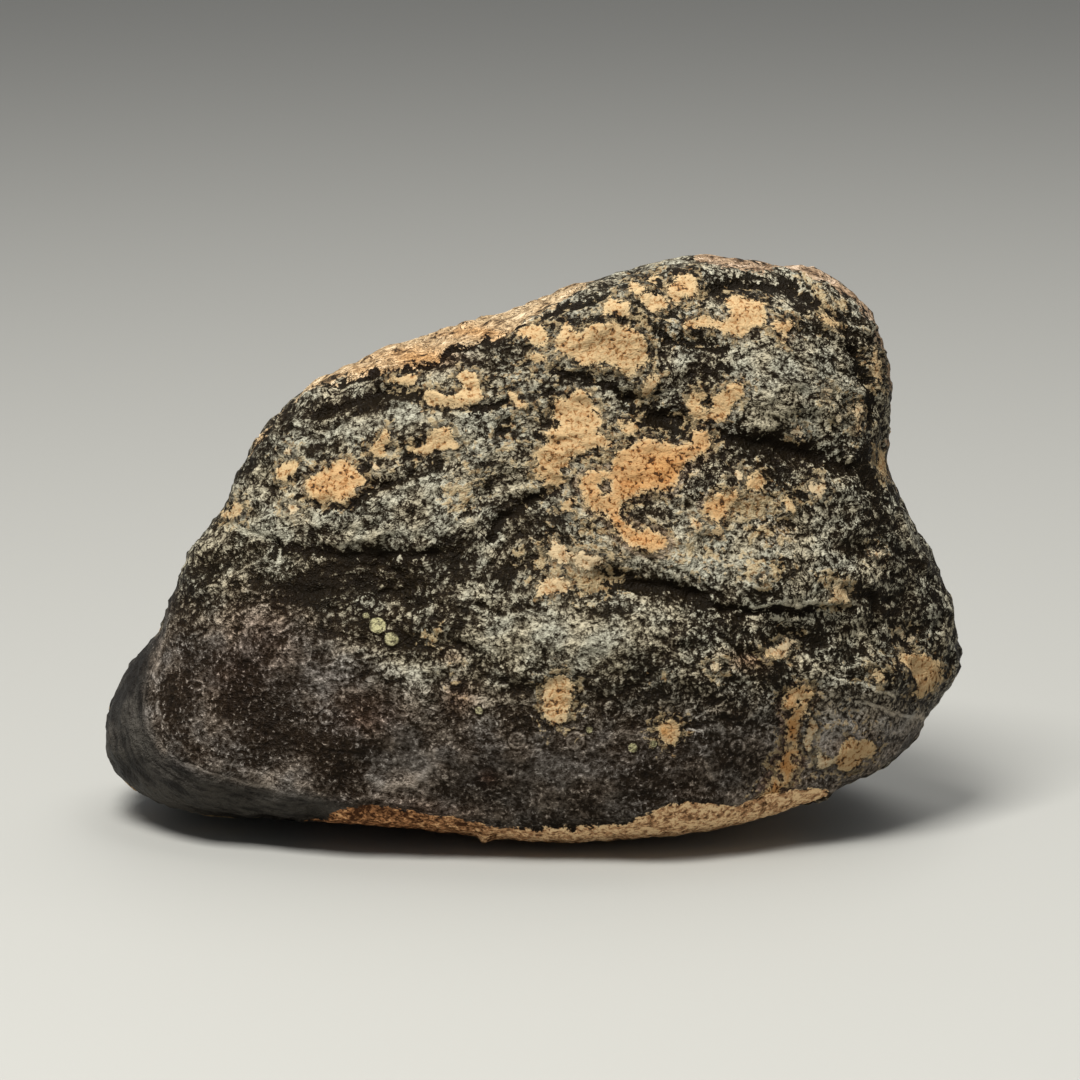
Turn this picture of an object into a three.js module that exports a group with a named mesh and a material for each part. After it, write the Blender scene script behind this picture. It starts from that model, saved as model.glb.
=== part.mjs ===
// A weathered chondrite meteorite: one stone, about 52 mm long, that rests on a small flat spot.
// Millimetres, +X to the right along the broad face, +Y towards the back, +Z up.
// The stone is the space where every limit below is kept: the outline of its leaning broad face, the flat
// facets that the fall and the weather left, and the underside. Hollows, swells and ledges then shift the skin.

import * as THREE from "three";
import { ImprovedNoise } from "three/addons/math/ImprovedNoise.js";
import { mergeVertices } from "three/addons/utils/BufferGeometryUtils.js";

const degrees = THREE.MathUtils.degToRad;

// ---- Driving dimensions ----

const FACE_LEAN = degrees(11); // the broad face leans back by this much
const FACE_FOOT_Y = -12.5; // where the leaning face plane meets the ground
const RIM_DEPTH = 4; // how far behind that plane the stone is widest
const FRONT_TAPER = 0.022; // inset per square millimetre in front of the rim
const BACK_TAPER = 0.0105; // and behind it
const SIDE_ROUNDING = 2.0; // blend radius where the outline meets the facets
const FACET_ROUNDING = 4.2; // blend radius between facets
const BASE_ROUNDING = 1.6; // blend radius of the underside
const MESH_DETAIL = 20; // 20 * (detail + 1)^2 triangles
const CORE = new THREE.Vector3(0.5, 0.5, 15); // every point of the skin can be seen from here

// The outline of the broad face, sideways and up the leaning plane, clockwise from the left notch.
const OUTLINE_CENTRE = new THREE.Vector2(0.5, 16);
const OUTLINE = [
  [-22.1, 13.6],
  [-21.2, 16.2],
  [-20.3, 18.5],
  [-18.6, 20.5],
  [-17.9, 22.4],
  [-16.2, 25.5],
  [-14.5, 27.2],
  [-12.3, 28.5],
  [-9.8, 29.7],
  [-6.9, 30.8],
  [-4.0, 31.7],
  [-1.0, 32.6],
  [1.6, 33.4],
  [4.5, 34.5],
  [7.5, 35.2],
  [10.2, 35.7],
  [13.4, 35.6],
  [16.6, 35.5],
  [18.6, 34.7],
  [20.2, 33.3],
  [21.0, 30.4],
  [21.2, 27.6],
  [20.7, 25.2],
  [20.9, 22.7],
  [22.4, 20.3],
  [24.2, 18.0],
  [25.6, 15.8],
  [27.3, 13.6],
  [27.9, 12.0],
  [27.0, 10.8],
  [25.2, 9.5],
  [24.0, 7.8],
  [22.8, 6.2],
  [21.0, 4.9],
  [18.8, 3.8],
  [17.4, 2.6],
  [16.0, 1.7],
  [12.0, 1.2],
  [6.0, 0.8],
  [0.0, 0.45],
  [-4.0, 0.6],
  [-9.0, 1.3],
  [-13.0, 1.8],
  [-17.0, 2.4],
  [-20.6, 3.8],
  [-22.9, 6.0],
  [-23.7, 8.6],
  [-23.2, 11.3],
];

// Flat facets: a point on each, the way it faces (degrees round from the front towards +X, then upwards).
const FACETS = [
  { name: "brow", at: [3, -12.9, 22], facing: [0, 20] },
  { name: "brow left", at: [-13, -11.0, 21], facing: [-30, 17] },
  { name: "brow right", at: [17, -11.0, 23], facing: [28, 10] },
  { name: "chin", at: [-2, -15.6, 8], facing: [-4, -16] },
  { name: "left cheek", at: [-20.5, -9.5, 10], facing: [-52, -4] },
  { name: "right cheek", at: [20, -10.5, 13], facing: [48, 6] },
  { name: "right chin", at: [18.5, -12, 6.5], facing: [34, -30] },
  { name: "crown", at: [6, 3, 33.4], facing: [185, 78] },
  { name: "left roof", at: [-12, 3, 27.2], facing: [-138, 60] },
  { name: "back top", at: [4, 12.5, 23], facing: [178, 34] },
  { name: "back right", at: [17, 8, 16], facing: [128, 12] },
  { name: "back left", at: [-13, 10.5, 14], facing: [-146, 14] },
  { name: "back foot", at: [0, 15.0, 9], facing: [176, -22] },
];

// The underside: a small flat spot on the ground, and slopes that rise from it on every side.
const UNDERSIDE = [
  { name: "left slope", at: [-7, 0, 0], facing: [-90, -88.2] },
  { name: "front left slope", at: [-6, -9.5, 0], facing: [-25, -75] },
  { name: "right slope", at: [9, -2, 0], facing: [80, -74] },
  { name: "front slope", at: [0, -10.2, 0], facing: [0, -62] },
  { name: "back slope", at: [0, 5.5, 0], facing: [180, -72] },
];

// The lobe that swells out behind the face's lower left corner, an ellipsoid.
const LOBE = {
  at: new THREE.Vector3(-14.4, -0.5, 6.7),
  size: new THREE.Vector3(12.0, 12, 7.3),
  drop: degrees(11),
  rounding: 0.9,
};

// Relief of the broad face: sideways, up, half-length, half-height, turn in degrees, depth (minus swells out).
const FACE_RELIEF = [
  { name: "left bowl", at: [-8.5, 16.4], size: [5.2, 2.4], turn: 8, depth: 0.9 },
  { name: "left shelf", at: [-10, 20.2], size: [6.5, 1.7], turn: -8, depth: -0.6 },
  { name: "middle hollow", at: [-0.8, 19.4], size: [2.6, 2.8], turn: 30, depth: 0.9 },
  { name: "middle swell", at: [5.5, 12.6], size: [6.5, 2.3], turn: -3, depth: -0.9 },
  { name: "shelf groove", at: [6.4, 16.1], size: [4.0, 1.2], turn: -6, depth: 0.65 },
  { name: "shelf lip", at: [14.5, 16.4], size: [5.5, 1.3], turn: -4, depth: -0.6 },
  { name: "right hollow", at: [15.2, 13.0], size: [5.5, 1.9], turn: -3, depth: 0.85 },
  { name: "upper pit", at: [7.7, 26.0], size: [2.0, 1.3], turn: -10, depth: 0.75 },
  { name: "right groove", at: [15.0, 24.1], size: [4.8, 1.4], turn: -6, depth: 0.7 },
  { name: "right knob", at: [14.6, 28.6], size: [3.2, 2.6], turn: 0, depth: -0.6 },
  { name: "brow groove", at: [13.2, 33.3], size: [4.2, 1.1], turn: 2, depth: 0.6 },
  { name: "brow swell", at: [3.5, 30.4], size: [4.2, 1.8], turn: 12, depth: -0.5 },
  { name: "left groove", at: [-8.2, 27.2], size: [5.4, 1.1], turn: 12, depth: 0.5 },
  { name: "left dimple", at: [-12.2, 9.8], size: [2.2, 1.6], turn: -20, depth: 0.45 },
  { name: "lower dimple", at: [-8.4, 5.0], size: [2.0, 1.5], turn: 0, depth: 0.4 },
  { name: "streak groove", at: [15.2, 6.4], size: [1.5, 3.4], turn: -8, depth: 0.5 },
  { name: "right cheek swell", at: [21.5, 10.8], size: [2.6, 2.0], turn: 0, depth: -0.5 },
  { name: "corner dent", at: [-18.0, 18.2], size: [2.0, 1.2], turn: -35, depth: 0.5 },
  { name: "left cheek swell", at: [-19.2, 13.2], size: [2.2, 3.0], turn: 0, depth: -0.45 },
  { name: "chin swell", at: [-1.5, 7.4], size: [6.5, 2.6], turn: 0, depth: -0.35 },
];

// Thumbprints and swells elsewhere: centre, half-sizes along X, Y and Z, depth.
const BODY_RELIEF = [
  { name: "crown print", at: [9, 5, 33], size: [5, 4.5, 5], depth: 1.1 },
  { name: "roof print", at: [-7, 5, 29], size: [5.5, 4.5, 5], depth: 1.2 },
  { name: "roof print left", at: [-17, 4, 22], size: [3.6, 4.5, 4], depth: 0.8 },
  { name: "back print upper", at: [2, 14, 21], size: [5, 4, 4], depth: 1.3 },
  { name: "back print right", at: [12, 12.5, 15], size: [4, 4, 5], depth: 1.1 },
  { name: "back print left", at: [-9, 13, 16], size: [4.5, 4, 4.5], depth: 1.2 },
  { name: "back print lower", at: [1, 15, 9.5], size: [5.5, 4, 3], depth: 1.0 },
  { name: "back ridge", at: [7, 14, 18], size: [1.8, 4, 5.5], depth: -0.8 },
  { name: "right side print", at: [22, 2, 19], size: [3, 4.5, 4], depth: 0.9 },
  { name: "right side swell", at: [24, 4, 12], size: [3, 4, 3], depth: -0.7 },
  { name: "lobe print", at: [-22, 7, 8], size: [3.5, 4, 3.5], depth: 0.9 },
  { name: "underside print", at: [-13, 2, 1], size: [4.5, 5, 3], depth: 0.8 },
  { name: "underside print right", at: [14, 3, 2], size: [3.5, 4, 3], depth: 0.7 },
];

// Roughness of the skin in octaves: how long a wave is and how far it moves the skin.
const ROUGHNESS = [
  { wave: 11, height: 0.55 },
  { wave: 5.2, height: 0.34 },
  { wave: 3.0, height: 0.15 },
];

// ---- Helpers ----

// Unit vector that faces `round` degrees from the front (-Y) towards +X and `up` degrees above level.
function facingVector([round, up]) {
  const turn = degrees(round);
  const rise = degrees(up);
  return new THREE.Vector3(
    Math.sin(turn) * Math.cos(rise),
    -Math.cos(turn) * Math.cos(rise),
    Math.sin(rise),
  );
}

// The larger of two distances, with the corner between them rounded.
function roundedMax(a, b, rounding) {
  const h = Math.max(rounding - Math.abs(a - b), 0) / rounding;
  return Math.max(a, b) + (h * h * rounding) / 4;
}

const roundedMin = (a, b, rounding) => -roundedMax(-a, -b, rounding);

const planesFrom = (list) =>
  list.map(({ at, facing }) =>
    new THREE.Plane().setFromNormalAndCoplanarPoint(
      facingVector(facing),
      new THREE.Vector3(...at),
    ),
  );

const facetPlanes = planesFrom(FACETS);
const undersidePlanes = planesFrom(UNDERSIDE);

// A point in the leaning frame: sideways, up the face, and how far behind it.
function leaning(p) {
  const behind = p.y - FACE_FOOT_Y;
  return {
    across: p.x,
    up: p.z * Math.cos(FACE_LEAN) + behind * Math.sin(FACE_LEAN),
    depth: behind * Math.cos(FACE_LEAN) - p.z * Math.sin(FACE_LEAN),
  };
}

// The outline as a table of radius by angle, read between its entries.
const RADIUS_STEPS = 720;
const POINTS_PER_STEP = 4; // enough that every entry gets at least one
const radiusByAngle = (() => {
  const curve = new THREE.CatmullRomCurve3(
    OUTLINE.map(([x, y]) => new THREE.Vector3(x, y, 0)),
    true,
  );
  const ring = curve.getPoints(RADIUS_STEPS * POINTS_PER_STEP).map((p) => {
    const dx = p.x - OUTLINE_CENTRE.x;
    const dy = p.y - OUTLINE_CENTRE.y;
    return { angle: Math.atan2(dy, dx), radius: Math.hypot(dx, dy) };
  });
  const sums = Array.from({ length: RADIUS_STEPS }, () => [0, 0]);
  for (const { angle, radius } of ring) {
    const cell = angleCell(angle);
    sums[cell][0] += radius;
    sums[cell][1] += 1;
  }
  return sums.map(([total, count]) => total / count);
})();

function angleCell(angle) {
  const turn = (angle / (2 * Math.PI) + 1) % 1;
  return Math.floor(turn * RADIUS_STEPS) % RADIUS_STEPS;
}

function outlineRadius(angle) {
  const place = ((angle / (2 * Math.PI) + 1) % 1) * RADIUS_STEPS - 0.5;
  const low = Math.floor(place);
  const share = place - low;
  const at = (i) => radiusByAngle[(i + RADIUS_STEPS) % RADIUS_STEPS];
  return at(low) * (1 - share) + at(low + 1) * share;
}

// ---- Limits of the stone: each is how far a point lies outside, in millimetres ----

function outsideOutline({ across, up, depth }) {
  const dx = across - OUTLINE_CENTRE.x;
  const dy = up - OUTLINE_CENTRE.y;
  const fromRim = depth - RIM_DEPTH;
  const taper = fromRim < 0 ? FRONT_TAPER : BACK_TAPER;
  return (
    Math.hypot(dx, dy) -
    outlineRadius(Math.atan2(dy, dx)) +
    taper * fromRim * fromRim
  );
}

function outsidePlanes(p, planes, rounding) {
  return planes
    .map((plane) => plane.distanceToPoint(p))
    .reduce((far, distance) => roundedMax(far, distance, rounding));
}

function outsideLobe(p) {
  const q = p.clone().sub(LOBE.at);
  q.applyAxisAngle(new THREE.Vector3(0, 1, 0), LOBE.drop);
  const share = q.clone().divide(LOBE.size).length(); // 1 on the ellipsoid
  return share > 0 ? (q.length() * (share - 1)) / share : -LOBE.size.z;
}

// ---- Relief, in millimetres: positive cuts in, negative swells out ----

const bell = (...parts) => Math.exp(-parts.reduce((sum, v) => sum + v * v, 0));

function faceRelief({ across, up, depth }) {
  const onFace = 1 - THREE.MathUtils.smoothstep(depth, 0, 2 * RIM_DEPTH);
  if (onFace === 0) return 0;
  return FACE_RELIEF.reduce((sum, { at, size, turn, depth: cut }) => {
    const [dx, dy] = [across - at[0], up - at[1]];
    const [c, s] = [Math.cos(degrees(turn)), Math.sin(degrees(turn))];
    return sum + onFace * cut * bell((dx * c + dy * s) / size[0], (dy * c - dx * s) / size[1]);
  }, 0);
}

function bodyRelief(p) {
  return BODY_RELIEF.reduce((sum, { at, size, depth }) => {
    const parts = [(p.x - at[0]) / size[0], (p.y - at[1]) / size[1], (p.z - at[2]) / size[2]];
    return sum + depth * bell(...parts);
  }, 0);
}

const noise = new ImprovedNoise();
const NOISE_SHIFT = 40.37;

function roughness(p) {
  return ROUGHNESS.reduce((sum, { wave, height }, octave) => {
    const shift = NOISE_SHIFT * (octave + 1);
    return sum + height * noise.noise(p.x / wave + shift, p.y / wave + shift, p.z / wave + shift);
  }, 0);
}

// ---- The stone ----

function outsideStone(p) {
  const lean = leaning(p);
  const facets = outsidePlanes(p, facetPlanes, FACET_ROUNDING);
  const face = roundedMax(outsideOutline(lean), facets, SIDE_ROUNDING);
  const body = roundedMin(face, outsideLobe(p), LOBE.rounding);
  const skin = body + faceRelief(lean) + bodyRelief(p) + roughness(p);
  return roundedMax(skin, outsidePlanes(p, undersidePlanes, BASE_ROUNDING), BASE_ROUNDING);
}

// Walks out from the core along a direction until the skin, which is closed by the ground.
function skinPoint(direction) {
  const FARTHEST = 45;
  const HALVINGS = 30;
  let [inside, outside] = [0, FARTHEST];
  for (let i = 0; i < HALVINGS; i++) {
    const middle = (inside + outside) / 2;
    const p = direction.clone().multiplyScalar(middle).add(CORE);
    if (p.z < 0 || outsideStone(p) > 0) outside = middle;
    else inside = middle;
  }
  return direction.clone().multiplyScalar(inside).add(CORE);
}

// A ball of nearly even triangles, each corner moved out to the stone's skin.
function stoneGeometry() {
  const EVEN_SPACING = new THREE.Vector3(26, 16, 17.5).toArray().map(Math.sqrt);
  const GROUND_SNAP = 0.01;
  const SAME_CORNER = 1e-5;
  const ball = new THREE.IcosahedronGeometry(1, MESH_DETAIL);
  ball.deleteAttribute("normal");
  ball.deleteAttribute("uv");
  const geometry = mergeVertices(ball, SAME_CORNER);
  const corners = geometry.attributes.position;
  const direction = new THREE.Vector3();
  for (let i = 0; i < corners.count; i++) {
    direction.fromBufferAttribute(corners, i).multiply(new THREE.Vector3(...EVEN_SPACING)).normalize();
    const p = skinPoint(direction);
    corners.setXYZ(i, p.x, p.y, p.z < GROUND_SNAP ? 0 : p.z);
  }
  geometry.computeBoundingBox();
  const middle = geometry.boundingBox.getCenter(new THREE.Vector3());
  geometry.translate(-middle.x, -middle.y, 0);
  geometry.computeVertexNormals();
  return geometry;
}

const weatheredCrust = new THREE.MeshStandardMaterial({
  color: 0x2f2d29,
  roughness: 0.72,
  metalness: 0,
});

const stone = new THREE.Mesh(stoneGeometry(), weatheredCrust);
stone.name = "stone";

const meteorite = new THREE.Group();
meteorite.add(stone);

export default meteorite;
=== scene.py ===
"""A weathered chondrite meteorite, about 52 mm long, on a plain pale stage.

The stone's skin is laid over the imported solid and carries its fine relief: grain, folds, cracks, the broken
edge of the crust over the tan base, and the raised tan patches. Its colours come from one procedural
material that reads fields stored on the skin. Sizes in the tables are millimetres.
"""

import math
from types import SimpleNamespace

import bpy
import numpy as np
from bpy.props import FloatProperty, FloatVectorProperty, IntProperty, PointerProperty
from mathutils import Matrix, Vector, noise
from mathutils.bvhtree import BVHTree


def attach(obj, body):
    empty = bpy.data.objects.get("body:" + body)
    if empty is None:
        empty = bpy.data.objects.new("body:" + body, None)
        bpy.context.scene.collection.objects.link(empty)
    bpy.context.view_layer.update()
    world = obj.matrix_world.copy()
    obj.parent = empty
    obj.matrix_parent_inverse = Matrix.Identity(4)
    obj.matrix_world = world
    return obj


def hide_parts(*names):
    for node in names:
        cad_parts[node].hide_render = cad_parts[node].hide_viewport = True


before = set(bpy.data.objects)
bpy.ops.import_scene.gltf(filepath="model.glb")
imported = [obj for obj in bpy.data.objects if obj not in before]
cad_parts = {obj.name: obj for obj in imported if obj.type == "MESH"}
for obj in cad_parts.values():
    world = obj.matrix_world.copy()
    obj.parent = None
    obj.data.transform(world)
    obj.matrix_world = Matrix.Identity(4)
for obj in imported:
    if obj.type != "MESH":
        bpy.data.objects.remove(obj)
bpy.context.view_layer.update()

bl_info = {
    "name": "Weathered meteorite",
    "version": (1, 0, 0),
    "blender": (4, 5, 0),
    "location": "3D View > Sidebar > Meteorite",
    "description": "A stony meteorite with a patchy crust, and a plain stage for it",
    "category": "Add Mesh",
}

MM = 0.001
SKIN = "meteorite_stone"

# ---- The broad face ----
# Places on it are given sideways and up the leaning face, as seen from a point in front of it.

FACE_LEAN = math.radians(11)
FACE_FOOT = Vector((0.11, -12.49))  # X of the face's middle line and Y of its foot
EYE_DISTANCE = 300.0
EYE_AIM = Vector((0.27, 18.67, 8.0))  # sideways, up and depth of the point the face is seen towards

# The crust's lower edge along the front, left to right: tan stone shows below it.
BASE_EDGE = [
    (-13.6, 1.3), (-12.6, 1.9), (-11.9, 2.35), (-10.9, 2.75), (-9.9, 2.85), (-8.0, 2.5), (-6.0, 2.1),
    (-4.5, 2.0), (-3.0, 1.7), (0.0, 1.5), (3.0, 1.6), (5.0, 1.7), (6.5, 2.1), (7.8, 2.7), (9.0, 2.9),
    (12.0, 2.7), (13.5, 3.3), (15.0, 3.7), (17.4, 3.7), (17.9, 3.0),
]
BASE_LEFT, BASE_RIGHT = -13.6, 17.8

# The crease between the broad face and the lobe at its lower left corner: down, then to the right.
LOBE_CREASE = [
    (-21.6, 15.4), (-22.2, 14.0), (-23.1, 11.5), (-23.4, 8.5), (-22.6, 6.2), (-20.0, 4.7), (-16.5, 3.9),
    (-12.6, 3.3), (-11.0, 3.1),
]
LOBE_TURN = 4  # the point where it turns

# The pale broken edges along the skyline: the roof's on the left, then strips with their half-widths; the
# last strip, on the left, is no broken edge but a painted highlight along the skyline.
ROOF_EDGE = [
    (-13.6, 27.5), (-12.1, 28.2), (-10.0, 28.8), (-7.9, 29.2), (-6.1, 29.4), (-5.3, 30.3), (-3.5, 30.6),
    (-1.6, 31.4), (-0.7, 31.9), (1.5, 32.9), (3.2, 34.0),
]
EDGE_STRIPS = [
    ([(9.6, 36.0), (11.0, 35.5), (13.0, 35.3), (15.6, 35.2), (17.6, 34.6), (19.2, 33.5)], 0.36),
    ([(19.2, 33.5), (20.5, 31.8), (21.2, 29.8), (21.5, 28.0)], 0.25),
    ([(21.5, 24.6), (21.7, 23.0), (22.3, 21.6)], 0.3),
    # A painted highlight along the left skyline.
    ([(-17.4, 24.2), (-16.3, 25.8), (-15.2, 27.0), (-13.8, 27.9)], 0.25),
]

ROOF_FOOT = 26.0  # the roof's edge counts from here up

# How far the roof's pale stone spreads back from the skyline: its middle (sideways, depth) and half-sizes.
ROOF_SPREAD = ((-5.2, 2.0), (10.0, 6.6))

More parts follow.
